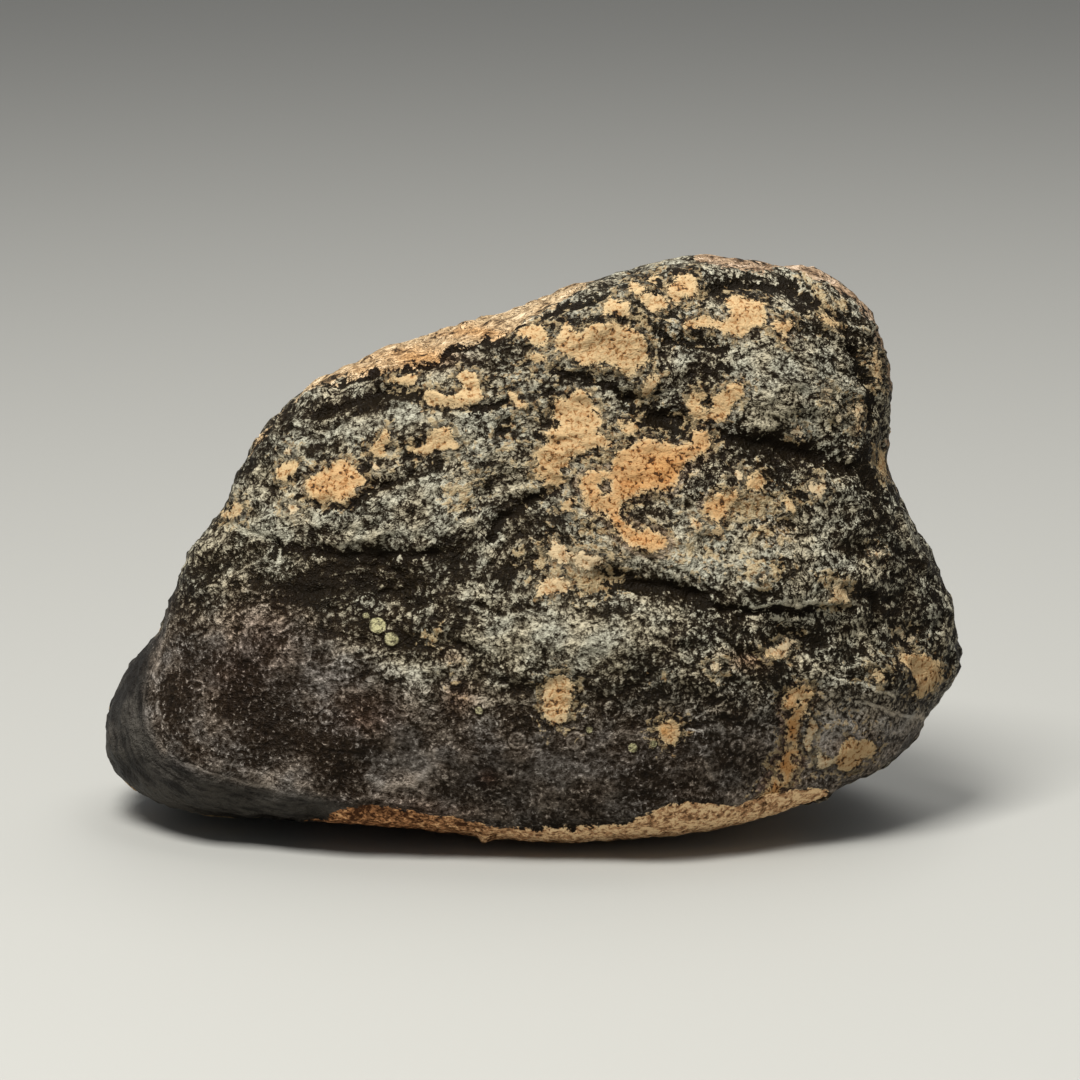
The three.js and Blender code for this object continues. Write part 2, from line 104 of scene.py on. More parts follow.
# Tan patches: how orange they are (less than nothing is cream or grey), and their outlines.
TAN_PATCHES = [
    ("round left", 0.3, [
        (-13.95, 22.3), (-13.5, 22.6), (-13.1, 22.8), (-12.9, 23.1), (-12.0, 23.4), (-11.5, 23.6),
        (-11.1, 23.4), (-10.8, 23.1), (-10.5, 22.7), (-10.1, 22.4), (-10.2, 22.1), (-10.7, 21.9),
        (-10.9, 21.5), (-11.2, 21.1), (-11.6, 20.9), (-12.3, 21.0), (-13.0, 20.9), (-13.5, 21.1),
        (-13.9, 21.6)]),
    ("small left", 0.0, [
        (-15.6, 22.9), (-15.4, 23.2), (-15.0, 23.5), (-14.5, 23.5), (-14.2, 23.2), (-14.4, 22.7),
        (-14.8, 22.4), (-15.2, 22.2), (-15.5, 22.4)]),
    ("upper left chip", -0.8, [(-15.3, 23.8), (-14.9, 24.3), (-14.5, 24.1), (-14.8, 23.7)]),
    ("tiny left", -0.7, [(-15.2, 20.8), (-14.5, 20.85), (-14.3, 20.5), (-14.6, 20.1), (-14.8, 20.5)]),
    ("left corner", -0.2, [
        (-19.1, 20.3), (-18.4, 20.5), (-18.2, 21.0), (-17.7, 20.9), (-17.6, 20.2), (-18.1, 20.0),
        (-18.8, 20.0)]),
    ("upper left dab", 0.1, [
        (-10.2, 24.1), (-9.8, 24.5), (-9.5, 24.7), (-9.3, 25.2), (-9.0, 25.4), (-8.6, 25.1), (-8.7, 24.7),
        (-9.0, 24.3), (-8.9, 23.9), (-9.3, 23.6), (-9.8, 23.7)]),
    ("upper left chip low", -0.6, [(-9.9, 23.3), (-9.5, 23.4), (-9.2, 22.9), (-9.7, 22.7)]),
    ("left bar", 0.0, [
        (-7.9, 24.1), (-7.5, 24.6), (-7.2, 24.3), (-6.7, 24.5), (-6.6, 24.9), (-6.2, 25.3), (-5.7, 25.4),
        (-5.4, 25.5), (-5.1, 25.4), (-5.0, 25.1), (-4.9, 24.7), (-4.5, 24.3), (-4.7, 24.0), (-5.2, 24.1),
        (-5.6, 23.9), (-6.0, 24.1), (-6.4, 23.8), (-7.0, 23.8), (-7.5, 23.9)]),
    ("brow dab", 0.0, [
        (-9.0, 28.3), (-8.6, 28.6), (-8.1, 28.4), (-7.6, 28.7), (-7.2, 28.7), (-7.2, 28.3), (-7.6, 28.1),
        (-8.6, 28.1)]),
    ("hook", 0.0, [
        (-6.8, 27.3), (-6.5, 27.8), (-6.0, 27.6), (-5.3, 27.3), (-4.8, 27.3), (-4.6, 27.6), (-4.3, 27.8),
        (-4.6, 28.2), (-4.8, 28.6), (-4.5, 28.9), (-4.0, 28.9), (-3.6, 28.7), (-3.3, 28.3), (-3.3, 27.6),
        (-3.2, 27.1), (-3.6, 26.8), (-4.2, 26.7), (-5.0, 26.7), (-5.8, 26.8), (-6.5, 26.9)]),
    ("brow spot", 0.0, [
        (-1.8, 27.6), (-1.5, 27.8), (-1.2, 27.5), (-0.9, 27.3), (-0.3, 27.2), (-0.2, 26.9), (-0.6, 26.5),
        (-1.1, 26.6), (-1.4, 27.0), (-1.8, 27.3)]),
    ("rim spot", 0.0, [
        (-1.2, 31.2), (-0.9, 31.55), (-0.3, 31.75), (0.5, 31.6), (0.75, 31.1), (0.85, 30.6), (0.5, 30.35),
        (-0.1, 30.4), (-0.6, 30.75), (-1.1, 30.95)]),
    ("rim spot low", 0.0, [
        (-0.4, 29.7), (0.0, 30.0), (0.6, 29.85), (0.9, 29.6), (1.5, 29.65), (1.2, 29.3), (0.4, 29.15),
        (-0.2, 29.4)]),
    ("brow", 0.05, [
        (1.0, 30.4), (1.3, 31.0), (1.4, 31.6), (1.9, 31.9), (2.2, 31.4), (2.7, 31.2), (3.1, 31.6),
        (3.6, 31.8), (4.2, 31.7), (4.9, 31.9), (5.2, 31.7), (5.6, 31.7), (6.1, 31.4), (6.4, 30.9),
        (6.9, 30.6), (7.0, 30.0), (6.7, 29.4), (6.2, 29.0), (5.7, 28.6), (5.2, 28.55), (4.9, 28.9),
        (4.4, 29.1), (3.9, 29.35), (3.3, 29.1), (2.7, 29.2), (2.3, 29.6), (1.8, 29.7), (1.3, 30.0)]),
    ("crown left", 0.0, [
        (4.0, 32.2), (4.1, 32.9), (4.5, 33.35), (5.0, 33.1), (5.6, 33.0), (5.9, 32.6), (5.8, 32.1),
        (5.3, 32.0), (4.9, 31.8), (4.6, 32.1)]),
    ("crown middle", 0.0, [
        (5.4, 34.0), (5.8, 34.5), (6.2, 34.3), (6.5, 33.9), (6.7, 33.4), (7.1, 33.5), (7.5, 33.6),
        (7.8, 33.3), (8.0, 32.9), (7.6, 32.5), (7.2, 32.35), (6.8, 32.45), (6.6, 32.8), (6.3, 33.0),
        (6.2, 33.4), (5.9, 33.6), (5.6, 33.6)]),
    ("crown top", 0.0, [(6.6, 34.3), (7.0, 34.75), (7.4, 34.9), (7.5, 34.4), (7.1, 34.1)]),
    ("crown right", 0.0, [
        (7.8, 33.7), (8.0, 34.3), (8.5, 34.6), (8.9, 34.85), (9.5, 34.8), (9.95, 34.4), (10.1, 34.0),
        (9.8, 33.5), (9.4, 33.1), (9.0, 33.2), (8.7, 32.85), (8.3, 32.9), (8.0, 33.3)]),
    ("right band and block", 0.12, [
        (8.8, 31.6), (9.1, 32.0), (9.7, 32.0), (10.1, 32.25), (10.6, 32.1), (11.0, 31.9), (11.4, 31.9),
        (11.6, 32.2), (11.7, 32.6), (11.4, 33.0), (11.1, 33.2), (11.5, 33.5), (12.2, 33.65), (12.9, 33.5),
        (13.6, 33.3), (13.9, 33.0), (13.8, 32.5), (14.0, 32.2), (13.9, 31.9), (13.6, 31.5), (13.0, 31.2),
        (12.6, 30.8), (12.2, 30.7), (11.8, 31.0), (11.3, 31.0), (10.9, 31.3), (10.3, 31.4), (9.8, 31.3),
        (9.3, 31.2), (8.95, 31.3)]),
    ("right block foot", 0.25, [
        (14.1, 31.5), (14.4, 32.0), (15.0, 31.9), (15.6, 31.9), (15.7, 31.3), (15.3, 31.0), (15.3, 30.6),
        (14.9, 30.4), (14.8, 31.0), (14.5, 31.1)]),
    ("right edge lens", -0.2, [
        (20.2, 29.9), (20.5, 30.3), (20.8, 29.4), (21.0, 28.4), (20.9, 27.8), (20.5, 28.2), (20.2, 29.0)]),
    ("right edge low", 0.0, [
        (20.6, 24.3), (21.1, 24.0), (21.3, 23.2), (21.4, 22.4), (20.9, 22.6), (20.6, 23.3)]),
    ("right edge dab", 0.1, [
        (17.0, 32.0), (17.4, 32.5), (18.0, 32.3), (18.4, 31.8), (18.0, 31.5), (17.4, 31.7)]),
    ("single dot", -0.1, [
        (6.3, 27.7), (6.4, 28.2), (6.9, 28.5), (7.3, 28.7), (7.6, 28.5), (7.4, 28.0), (7.2, 27.5),
        (6.9, 27.2), (6.6, 27.2), (6.4, 27.3)]),
    ("pit rim", 0.15, [
        (9.1, 26.4), (9.1, 27.0), (9.3, 27.5), (9.8, 27.8), (10.3, 27.7), (10.6, 27.3), (11.1, 27.5),
        (11.4, 27.9), (11.8, 28.2), (12.3, 28.4), (12.6, 28.0), (12.5, 27.4), (12.0, 27.0), (11.8, 26.4),
        (11.5, 25.9), (10.9, 25.6), (10.3, 25.6), (9.8, 25.9), (9.3, 26.1)]),
    ("centre", 0.15, [
        (1.1, 27.4), (1.7, 27.3), (2.1, 27.6), (2.6, 27.9), (3.2, 27.6), (3.4, 27.0), (3.7, 26.5),
        (4.0, 26.2), (4.0, 25.6), (3.8, 25.2), (4.2, 24.9), (4.9, 24.7), (4.8, 24.3), (4.0, 24.1),
        (3.2, 24.1), (2.8, 23.8), (2.2, 23.5), (2.0, 23.1), (1.6, 22.9), (1.9, 22.4), (1.8, 21.9),
        (1.2, 21.8), (0.6, 22.1), (0.0, 22.5), (-0.3, 22.9), (0.1, 23.3), (-0.1, 23.8), (0.3, 24.2),
        (0.6, 24.6), (0.6, 25.2), (0.8, 25.5), (1.0, 26.0), (0.9, 26.6), (1.0, 27.0)]),
    ("bridge", 0.1, [
        (4.9, 25.9), (5.5, 25.8), (6.2, 25.9), (6.4, 25.4), (6.3, 25.0), (5.7, 24.9), (5.3, 25.0),
        (5.0, 25.3)]),
    ("core", 0.45, [
        (5.8, 24.5), (6.2, 24.8), (6.8, 24.8), (7.4, 24.6), (8.0, 24.5), (8.6, 24.4), (9.2, 24.5),
        (9.3, 24.9), (9.3, 25.4), (10.2, 25.4), (10.6, 25.1), (10.8, 24.6), (10.7, 24.1), (10.2, 23.7),
        (9.7, 23.4), (9.2, 23.2), (8.8, 22.8), (8.6, 22.3), (8.5, 21.9), (8.0, 21.4), (7.4, 21.5),
        (6.7, 21.4), (6.2, 21.3), (5.8, 21.0), (5.3, 20.8), (5.2, 20.4), (5.5, 19.9), (6.0, 19.6),
        (6.6, 19.4), (7.3, 19.3), (7.9, 19.0), (8.1, 18.4), (7.8, 17.9), (7.2, 17.8), (6.6, 17.9),
        (6.0, 18.1), (5.4, 18.5), (5.0, 18.9), (4.6, 19.3), (4.4, 19.8), (4.0, 20.2), (3.5, 20.4),
        (3.0, 20.8), (3.0, 21.4), (2.6, 21.7), (2.5, 22.2), (2.9, 22.6), (3.4, 22.9), (3.9, 22.9),
        (4.4, 22.8), (4.5, 23.3), (4.8, 23.8), (5.2, 24.2)]),
    ("tail dab", 0.0, [
        (1.4, 20.9), (1.8, 21.3), (2.3, 21.5), (2.6, 21.2), (2.6, 20.7), (2.2, 20.3), (1.8, 20.1),
        (1.4, 20.4)]),
    ("lower dab top", -0.45, [
        (0.6, 18.2), (1.0, 18.9), (1.4, 18.6), (1.9, 18.1), (2.8, 17.9), (3.3, 17.5), (2.6, 17.3),
        (1.6, 17.3), (0.8, 17.5)]),
    ("lower dab middle", -0.55, [
        (2.1, 17.9), (3.0, 18.0), (3.9, 17.7), (4.2, 17.3), (3.7, 16.9), (2.9, 16.7), (2.3, 17.1)]),
    ("right white", -0.6, [(11.8, 22.6), (11.9, 22.9), (12.3, 23.0), (12.5, 22.7), (12.2, 22.4)]),
    ("right pink low", -0.2, [(10.5, 19.3), (11.0, 19.4), (11.4, 19.2), (11.1, 18.8), (10.7, 18.8)]),
    ("lower dab", -0.3, [
        (0.1, 15.3), (0.1, 16.0), (0.5, 16.5), (1.2, 16.4), (1.9, 16.3), (2.3, 15.9), (1.9, 15.5),
        (1.2, 15.3), (0.6, 15.2)]),
    ("right pink", 0.3, [
        (12.7, 22.0), (13.0, 22.6), (13.4, 22.9), (13.8, 22.6), (14.0, 22.2), (13.9, 21.8), (13.4, 21.5),
        (12.9, 21.6)]),
    ("right orange", 0.5, [
        (10.1, 21.0), (10.6, 21.4), (11.4, 21.5), (12.0, 21.6), (12.3, 21.1), (11.8, 20.7), (11.5, 19.9),
        (10.8, 19.7), (10.4, 20.1), (10.0, 20.5)]),
    ("right cream", -0.5, [(9.1, 19.8), (9.5, 20.4), (9.9, 19.8), (10.2, 19.3), (9.8, 18.9), (9.4, 19.2)]),
    ("right dab", 0.0, [
        (14.9, 21.0), (15.0, 21.4), (15.4, 21.3), (15.7, 20.7), (15.5, 20.2), (15.1, 20.2)]),
    ("right dab top", -0.5, [
        (16.4, 21.8), (16.5, 22.1), (17.0, 22.2), (17.2, 22.5), (17.6, 22.1), (17.5, 21.6), (17.2, 21.3),
        (16.8, 21.4)]),
    ("white chip", -1.0, [(15.4, 25.1), (15.9, 25.6), (16.3, 25.0)]),
    ("white chip right", -1.0, [(18.1, 26.4), (18.3, 26.6), (18.5, 26.1), (18.3, 25.8)]),
    ("white chip low", -1.0, [(20.2, 18.1), (20.6, 18.2), (20.9, 17.8), (20.5, 17.6)]),
    ("pale block", -0.8, [(17.2, 27.9), (17.8, 27.8), (17.9, 27.3), (17.4, 27.3)]),
    ("olive strip", -0.5, [
        (19.1, 26.6), (19.4, 26.9), (19.8, 26.8), (19.8, 26.2), (19.6, 25.6), (19.5, 25.1), (19.1, 25.1),
        (19.2, 25.8)]),
    ("shelf chip", -0.8, [
        (13.3, 16.2), (13.7, 16.7), (13.9, 17.0), (14.0, 16.4), (13.8, 16.0), (13.5, 16.0)]),
    ("lip end", -0.3, [
        (17.5, 15.05), (18.0, 15.3), (18.1, 16.0), (18.4, 16.1), (18.8, 15.6), (18.9, 15.1), (18.6, 14.85),
        (18.0, 14.9)]),
    ("cream", -0.7, [
        (13.5, 11.9), (13.8, 12.1), (14.1, 12.3), (14.6, 12.2), (14.9, 12.5), (15.3, 12.8), (15.9, 12.6),
        (15.6, 12.2), (15.3, 11.7), (15.0, 11.35), (14.6, 11.5), (14.1, 11.6), (13.8, 11.5)]),
    ("pale grey", -1.0, [
        (10.4, 11.1), (10.7, 11.2), (11.3, 11.25), (11.3, 10.9), (10.9, 10.7), (10.5, 10.8)]),
    ("oval core", -0.2, [
        (0.3, 8.4), (0.35, 9.3), (0.6, 10.0), (1.0, 10.5), (1.6, 10.65), (2.1, 10.3), (2.3, 9.6),
        (2.25, 8.8), (2.0, 8.1), (1.6, 7.6), (1.1, 7.5), (0.6, 7.8)]),
    ("orange dot", 0.1, [
        (7.2, 7.3), (7.4, 7.7), (7.9, 7.9), (8.4, 7.9), (8.8, 7.6), (8.8, 7.1), (8.6, 6.7), (8.3, 6.3),
        (7.8, 6.3), (7.5, 6.7)]),
    ("streak", 0.6, [
        (14.9, 9.0), (15.3, 9.6), (16.0, 9.9), (16.7, 9.8), (16.9, 9.3), (16.5, 8.8), (16.2, 8.2),
        (16.0, 7.6), (15.8, 6.9), (15.7, 6.2), (16.0, 5.6), (15.9, 5.1), (15.5, 4.6), (15.2, 3.9),
        (15.0, 3.2), (13.2, 3.0), (13.5, 3.6), (14.0, 4.1), (14.4, 4.6), (14.4, 5.2), (14.8, 5.8),
        (15.0, 6.5), (15.0, 7.2), (14.9, 7.9), (14.7, 8.5)]),
    ("streak side", -0.7, [
        (16.2, 8.4), (16.6, 8.2), (17.0, 7.4), (16.7, 6.7), (16.6, 6.1), (16.3, 5.9), (16.1, 6.6),
        (16.3, 7.4)]),
    ("low right", 0.1, [
        (18.0, 5.3), (18.2, 5.9), (18.5, 6.5), (19.0, 6.9), (19.5, 6.6), (20.0, 6.8), (20.4, 6.5),
        (20.5, 6.0), (20.3, 5.6), (19.9, 5.5), (19.6, 5.1), (19.2, 4.9), (18.7, 4.7), (18.3, 4.9)]),
    ("low right grey", -0.7, [
        (17.0, 5.9), (17.5, 5.8), (17.9, 5.6), (17.8, 5.2), (17.4, 4.9), (16.9, 4.9), (16.9, 5.4)]),
    ("right end", 0.1, [
        (22.0, 11.9), (22.7, 12.0), (23.3, 11.9), (23.8, 11.7), (24.3, 11.4), (24.5, 11.0), (24.6, 10.6),
        (24.3, 10.1), (24.0, 10.0), (23.7, 9.6), (23.2, 9.1), (22.8, 9.2), (22.9, 9.8), (22.7, 10.4),
        (22.3, 10.8), (22.1, 11.3)]),
    ("right end left", -0.2, [
        (20.1, 11.0), (20.9, 10.95), (21.2, 10.5), (21.0, 10.0), (20.6, 10.1), (20.2, 10.6)]),
    ("right end top", -0.8, [
        (21.9, 13.0), (22.3, 13.2), (22.6, 12.9), (22.9, 12.9), (22.8, 12.5), (22.3, 12.6), (22.0, 12.8)]),
]

# Dark pits in the patches: place and radius.
PITS = [
    ((4.2, 21.85), 0.36), ((10.35, 26.8), 0.3), ((5.9, 20.05), 0.36), ((-12.5, 23.1), 0.18),
    ((14.3, 30.9), 0.2), ((8.2, 31.6), 0.2), ((1.25, 25.6), 0.12), ((4.9, 25.1), 0.2), ((9.0, 27.9), 0.15),
    ((15.1, 8.2), 0.2), ((15.9, 8.9), 0.14), ((15.3, 6.3), 0.16), ((15.6, 5.5), 0.2), ((14.7, 4.4), 0.24),
    ((15.0, 3.7), 0.2),
]

# Grainy tan areas, where tan grains are mixed with dark ones: centre, half-sizes, turn, how much.
MOTTLED = [
    ("right", (12.8, 20.9), (3.0, 1.4), -4, 0.85),
    ("oval", (1.3, 8.9), (1.4, 2.1), 0, 0.7),
    ("shelf", (2.4, 17.0), (2.8, 1.7), -10, 1.0),
    ("shelf top", (9.0, 18.0), (4.0, 1.4), -8, 0.45),
    ("shelf right", (13.6, 17.0), (2.4, 1.0), 0, 0.65),
    ("right low", (14.0, 19.2), (2.6, 1.2), -6, 0.55),
    ("top left of centre", (-1.2, 25.2), (1.6, 2.2), 0, 0.5),
    ("left of hollow", (-3.8, 22.8), (1.2, 1.6), 20, 0.5),
    ("shelf end", (18.2, 15.9), (1.6, 0.9), -20, 0.7),
    ("centre", (4.0, 24.0), (5.0, 3.4), 0, 0.6),
    ("crown bits", (5.4, 31.8), (3.6, 1.8), 0, 0.6),
    ("crown right bits", (8.6, 33.6), (2.0, 1.2), 0, 0.8),
    ("band bits", (11.0, 31.8), (4.2, 1.5), 0, 0.45),
    ("low bits", (3.4, 19.2), (3.0, 1.2), -20, 0.5),
    ("brow bits", (-1.0, 28.6), (2.4, 1.6), 20, 0.4),
    ("left green", (-4.6, 21.4), (1.3, 1.3), 20, 0.65),
    ("left of round", (-9.0, 23.9), (1.2, 1.4), 40, 0.55),
    ("right edge", (19.6, 26.4), (0.9, 1.8), 10, 0.6),
    ("low middle", (-6.3, 12.8), (1.3, 0.8), 20, 0.45),
    ("low pink", (-5.0, 10.8), (0.9, 1.8), 10, 0.35),
    ("right end", (20.8, 11.0), (3.0, 1.3), 0, 0.35),
    ("low right", (19.0, 7.4), (2.6, 1.8), 20, 0.3),
    ("faint", (7.4, 10.4), (1.0, 0.8), 0, 0.4),
    ("top right band", (17.6, 33.4), (3.2, 0.8), -38, 0.5),
]

# Rusty tint: centre, half-sizes, how strong.
RUSTY = [
    ((-16.5, 13.6), (2.2, 2.0), 0.45),
    ((-18.0, 10.6), (2.0, 1.4), 0.35),
    ((-9.0, 8.8), (3.0, 1.4), 0.2),
    ((13.0, 11.4), (1.6, 0.6), 0.8),
    ((7.8, 22.9), (1.4, 1.0), 0.9),
    ((6.0, 21.9), (1.0, 0.7), 0.8),
    ((6.4, 18.8), (1.2, 0.8), 0.6),
    ((4.9, 19.7), (0.5, 0.6), 0.8),
    ((-12.2, 22.1), (0.9, 0.6), 0.4),
    ((7.7, 7.1), (0.4, 0.3), 1.0),
    ((15.2, 5.4), (0.5, 0.8), 1.2),
    ((14.6, 3.9), (0.7, 0.6), 1.3),
    ((15.3, 7.4), (0.4, 0.7), 1.0),
    ((16.1, 9.3), (0.8, 0.4), 0.0),
    ((1.3, 9.3), (0.5, 0.8), 0.2),
    ((-2.9, 4.4), (0.5, 0.4), 1.0),
    ((-4.7, 9.2), (1.2, 1.0), 0.7),
    ((-5.0, 11.6), (0.7, 0.5), 0.5),
    ((-10.2, 7.8), (1.4, 0.8), 0.5),
    ((-19.2, 3.7), (0.5, 0.25), 0.9),
    ((-3.6, 31.2), (2.6, 0.35), 0.9),
    ((-6.8, 29.7), (2.4, 0.6), 1.0),
    ((-10.0, 28.9), (1.6, 0.3), 0.6),
    ((14.4, 19.2), (1.2, 0.7), 0.35),
    ((-7.6, 2.2), (3.4, 0.7), 0.6),
]

# Where the crust is paler or darker: centre, half-sizes, turn, how much. Plus is thicker pale grain, and on
# the middle swell also a painted sheen where it faces up; minus, in the hollows, pits and grooves and on the
# chin that faces down, is painted shade.
GRAIN_AND_SHADING = [
    ("middle swell", (3.2, 12.6), (7.6, 2.0), -3, 0.28),
    ("shelf", (9.5, 17.8), (6.5, 1.8), -4, 0.4),
    ("under brow left", (-9.5, 25.6), (5.6, 1.1), 12, 0.2),
    ("left shelf", (-9.0, 20.4), (7.0, 1.8), 6, 0.14),
    ("right field", (14.5, 28.0), (4.0, 3.0), 0, 0.205),
    ("centre left", (-3.0, 24.0), (3.5, 3.5), 0, 0.12),
    ("left cheek", (-19.0, 14.0), (2.6, 3.4), 0, 0.03),
    ("low right", (19.0, 7.6), (4.0, 2.6), 20, 0.33),
    ("above low right", (20.6, 12.6), (3.0, 1.4), 0, 0.12),
    ("left bowl", (-9.6, 16.5), (4.6, 1.3), 4, -0.5),
    ("bowl left", (-14.6, 16.0), (2.6, 1.2), 0, -0.2),
    ("middle hollow", (-0.9, 19.2), (1.7, 2.2), 30, -0.34),
    ("upper pit", (7.9, 25.8), (2.0, 0.9), -8, -0.75),
    ("brow hollow", (10.0, 28.6), (1.3, 1.0), -30, -0.45),
    ("right groove", (13.8, 24.4), (4.0, 0.7), -5, -0.6),
    ("right edge", (20.2, 22.0), (1.4, 3.0), 10, -0.3),
    ("right slope", (21.8, 18.0), (2.0, 3.0), 25, -0.08),
    ("left groove", (-8.4, 27.1), (5.0, 0.45), 10, -0.5),
    ("left rim", (-17.0, 23.6), (0.9, 3.4), -35, -0.35),
    ("shelf groove", (6.6, 15.8), (3.4, 0.5), -6, -0.6),
    ("right hollow", (16.2, 13.0), (3.8, 1.1), -4, -0.12),
    ("chin", (2.0, 5.0), (13.0, 2.6), 0, -0.07),
    ("chin left", (-15.6, 7.6), (3.6, 1.6), -30, -0.2),
    ("chin dark", (9.5, 8.6), (4.0, 1.6), 0, -0.12),
    ("chin low", (6.0, 4.2), (6.0, 1.2), 0, -0.08),
    ("cheek", (-18.0, 11.0), (2.4, 3.0), 0, -0.08),
    ("cheek dark", (-21.4, 8.6), (1.3, 3.0), 0, -0.26),
    ("lump under the dots", (-11.8, 10.6), (1.3, 1.5), 0, 0.2),
    ("lump right of it", (-8.0, 11.4), (1.6, 1.2), 0, 0.2),
    ("lump right again", (-5.0, 11.2), (0.7, 1.0), 0, 0.16),
    ("low lump", (-8.0, 4.7), (1.4, 0.7), 0, 0.15),
    ("low left lump", (-13.6, 5.4), (1.0, 1.2), 0, 0.06),
    ("low middle lump", (-0.6, 6.6), (1.0, 0.8), 0, 0.1),
    ("between lumps", (-12.6, 8.3), (2.6, 0.7), 0, -0.14),
    ("dark above the dots", (-12.8, 13.4), (0.8, 1.6), 0, -0.2),
    ("low dark", (-11.2, 5.8), (1.4, 1.6), 0, -0.14),
    ("low right eye", (17.8, 6.2), (0.8, 0.8), 0, 0.2),
]

# Cracks and creases: half-width, how deep (minus stands out), how dark (minus is pale), path. The dark lines
# are painted shade in the grooves; the pale lines are pale cracks, scratches and folds, and along the lip a
# painted highlight.
GROOVES = [
    ("brow groove", 0.34, 0.4, 1.0, [(9.9, 33.5), (11.4, 34.1), (13.4, 34.3), (15.2, 33.9), (16.6, 33.1)]),
    ("brow groove right", 0.34, 0.25, 1.0, [
        (17.0, 32.9), (18.6, 31.6), (19.7, 29.6), (20.3, 27.6), (20.4, 25.6)]),
    ("roof line", 0.24, 0.2, 1.0, [
        (-12.4, 28.0), (-10.0, 28.7), (-7.9, 29.1), (-6.0, 29.4), (-5.3, 30.2), (-3.5, 30.5), (-1.6, 31.3),
        (1.5, 32.5), (4.0, 33.4)]),
    ("left groove", 0.26, 0.22, 0.9, [
        (-13.4, 26.3), (-10.2, 27.3), (-7.4, 27.6), (-5.6, 26.7), (-3.4, 26.5), (-1.4, 27.0)]),
    ("centre crease", 0.3, 0.3, 0.7, [(1.2, 21.9), (-0.6, 20.9), (-1.9, 19.9), (-3.0, 18.7)]),
    ("shelf groove", 0.34, 0.35, 0.9, [(3.6, 16.4), (5.6, 15.9), (8.0, 15.8), (10.2, 15.2)]),
    ("lip line", 0.22, 0.28, 0.9, [(9.8, 14.8), (12.6, 14.35), (15.8, 14.4), (18.9, 14.6)]),
    ("right groove", 0.42, 0.4, 0.9, [
        (10.4, 25.0), (12.2, 24.7), (14.2, 24.5), (17.2, 23.6), (19.2, 22.8)]),
    ("pit line", 0.5, 0.35, 0.8, [(5.4, 27.3), (6.4, 26.4), (8.0, 26.0), (9.2, 25.4)]),
    ("patch line", 0.26, 0.25, 0.9, [(0.8, 28.9), (2.6, 28.6), (4.6, 27.9), (5.6, 27.0)]),
    ("bowl line", 0.3, 0.2, 0.5, [(-15.8, 18.4), (-13.0, 17.9), (-9.6, 17.6), (-6.0, 17.9)]),
    ("round left edge", 0.26, 0.18, 0.7, [(-14.4, 21.2), (-12.6, 20.6), (-11.0, 20.9), (-9.8, 22.4)]),
    ("crown line", 0.26, 0.22, 0.8, [(7.6, 31.0), (9.2, 30.4), (11.4, 30.2)]),
    ("corner line", 0.16, 0.12, -0.5, [(-18.4, 19.6), (-16.6, 18.9), (-15.4, 18.3), (-15.4, 17.3)]),
    ("crack right low", 0.12, 0.1, -0.4, [(19.6, 8.9), (21.6, 8.2), (23.3, 8.0)]),
    ("crack middle", 0.09, 0.05, -0.2, [(-6.0, 9.6), (-3.0, 9.0), (0.0, 8.7)]),
    # The lip's pale lines are a painted highlight on the top of the crust's lip.
    ("lip edge", 0.17, -0.1, -0.9, [
        (12.6, 14.9), (13.4, 14.65), (14.4, 14.8), (15.6, 14.8), (16.8, 15.0), (18.6, 14.95)]),
    ("lip second line", 0.13, -0.06, -0.6, [(12.9, 14.1), (14.2, 13.8), (15.4, 13.95), (16.8, 14.1)]),
    ("bowl scallop", 0.22, -0.08, -0.2, [(-13.6, 10.6), (-12.2, 9.7), (-10.6, 9.6), (-9.6, 10.4)]),
    ("base notch", 0.8, 0.45, 0.0, [(-13.3, 1.9), (-11.7, 1.7)]),
    ("low scallop", 0.25, -0.1, -0.26, [(-10.2, 4.4), (-8.9, 3.8), (-7.4, 4.0), (-6.4, 4.9)]),
    # A painted highlight along the crust's roll over the base.
    ("lip roll", 0.13, -0.08, -0.14, [
        (-13.5, 2.8), (-12.0, 3.0), (-10.5, 3.2), (-9.0, 3.1), (-7.5, 2.8), (-6.0, 2.5)]),
    ("left fold", 0.12, -0.06, -0.2, [
        (-22.6, 12.6), (-22.9, 10.6), (-22.8, 8.6), (-22.0, 6.9), (-20.6, 5.9), (-18.6, 5.2), (-16.2, 4.7),
        (-14.2, 3.9)]),
    ("lobe fold", 0.1, 0.1, -0.3, [
        (-23.5, 11.8), (-23.6, 9.4), (-23.3, 7.2), (-22.2, 5.8), (-20.8, 4.96), (-18.75, 4.35),
        (-16.3, 3.75), (-14.3, 3.1)]),
    ("lobe fold low", 0.1, 0.08, -0.24, [
        (-24.2, 11.2), (-24.2, 9.0), (-24.0, 7.4), (-23.0, 5.8), (-21.6, 4.35), (-20.2, 3.7)]),
    ("lobe scratch", 0.08, 0.0, -0.3, [(-16.4, 4.1), (-15.2, 3.6), (-14.4, 2.9)]),
    ("crack right top", 0.1, -0.04, -0.4, [
        (17.3, 10.8), (18.5, 10.2), (20.0, 9.95), (21.0, 9.5), (21.8, 9.1)]),
    ("crack right branch", 0.09, -0.04, -0.35, [
        (18.2, 10.9), (19.4, 11.1), (20.4, 11.2), (21.0, 11.9), (21.9, 11.7)]),
    ("crack right rise", 0.09, -0.03, -0.3, [(19.2, 12.2), (19.4, 13.0), (19.0, 14.0)]),
    ("scratch low", 0.07, 0.0, -0.45, [(9.0, 7.15), (10.1, 7.05)]),
    ("scratch", 0.06, 0.0, -0.35, [(10.0, 8.2), (11.5, 9.0)]),
    ("scratch left", 0.06, 0.0, -0.35, [(9.6, 8.0), (10.8, 8.4)]),
]

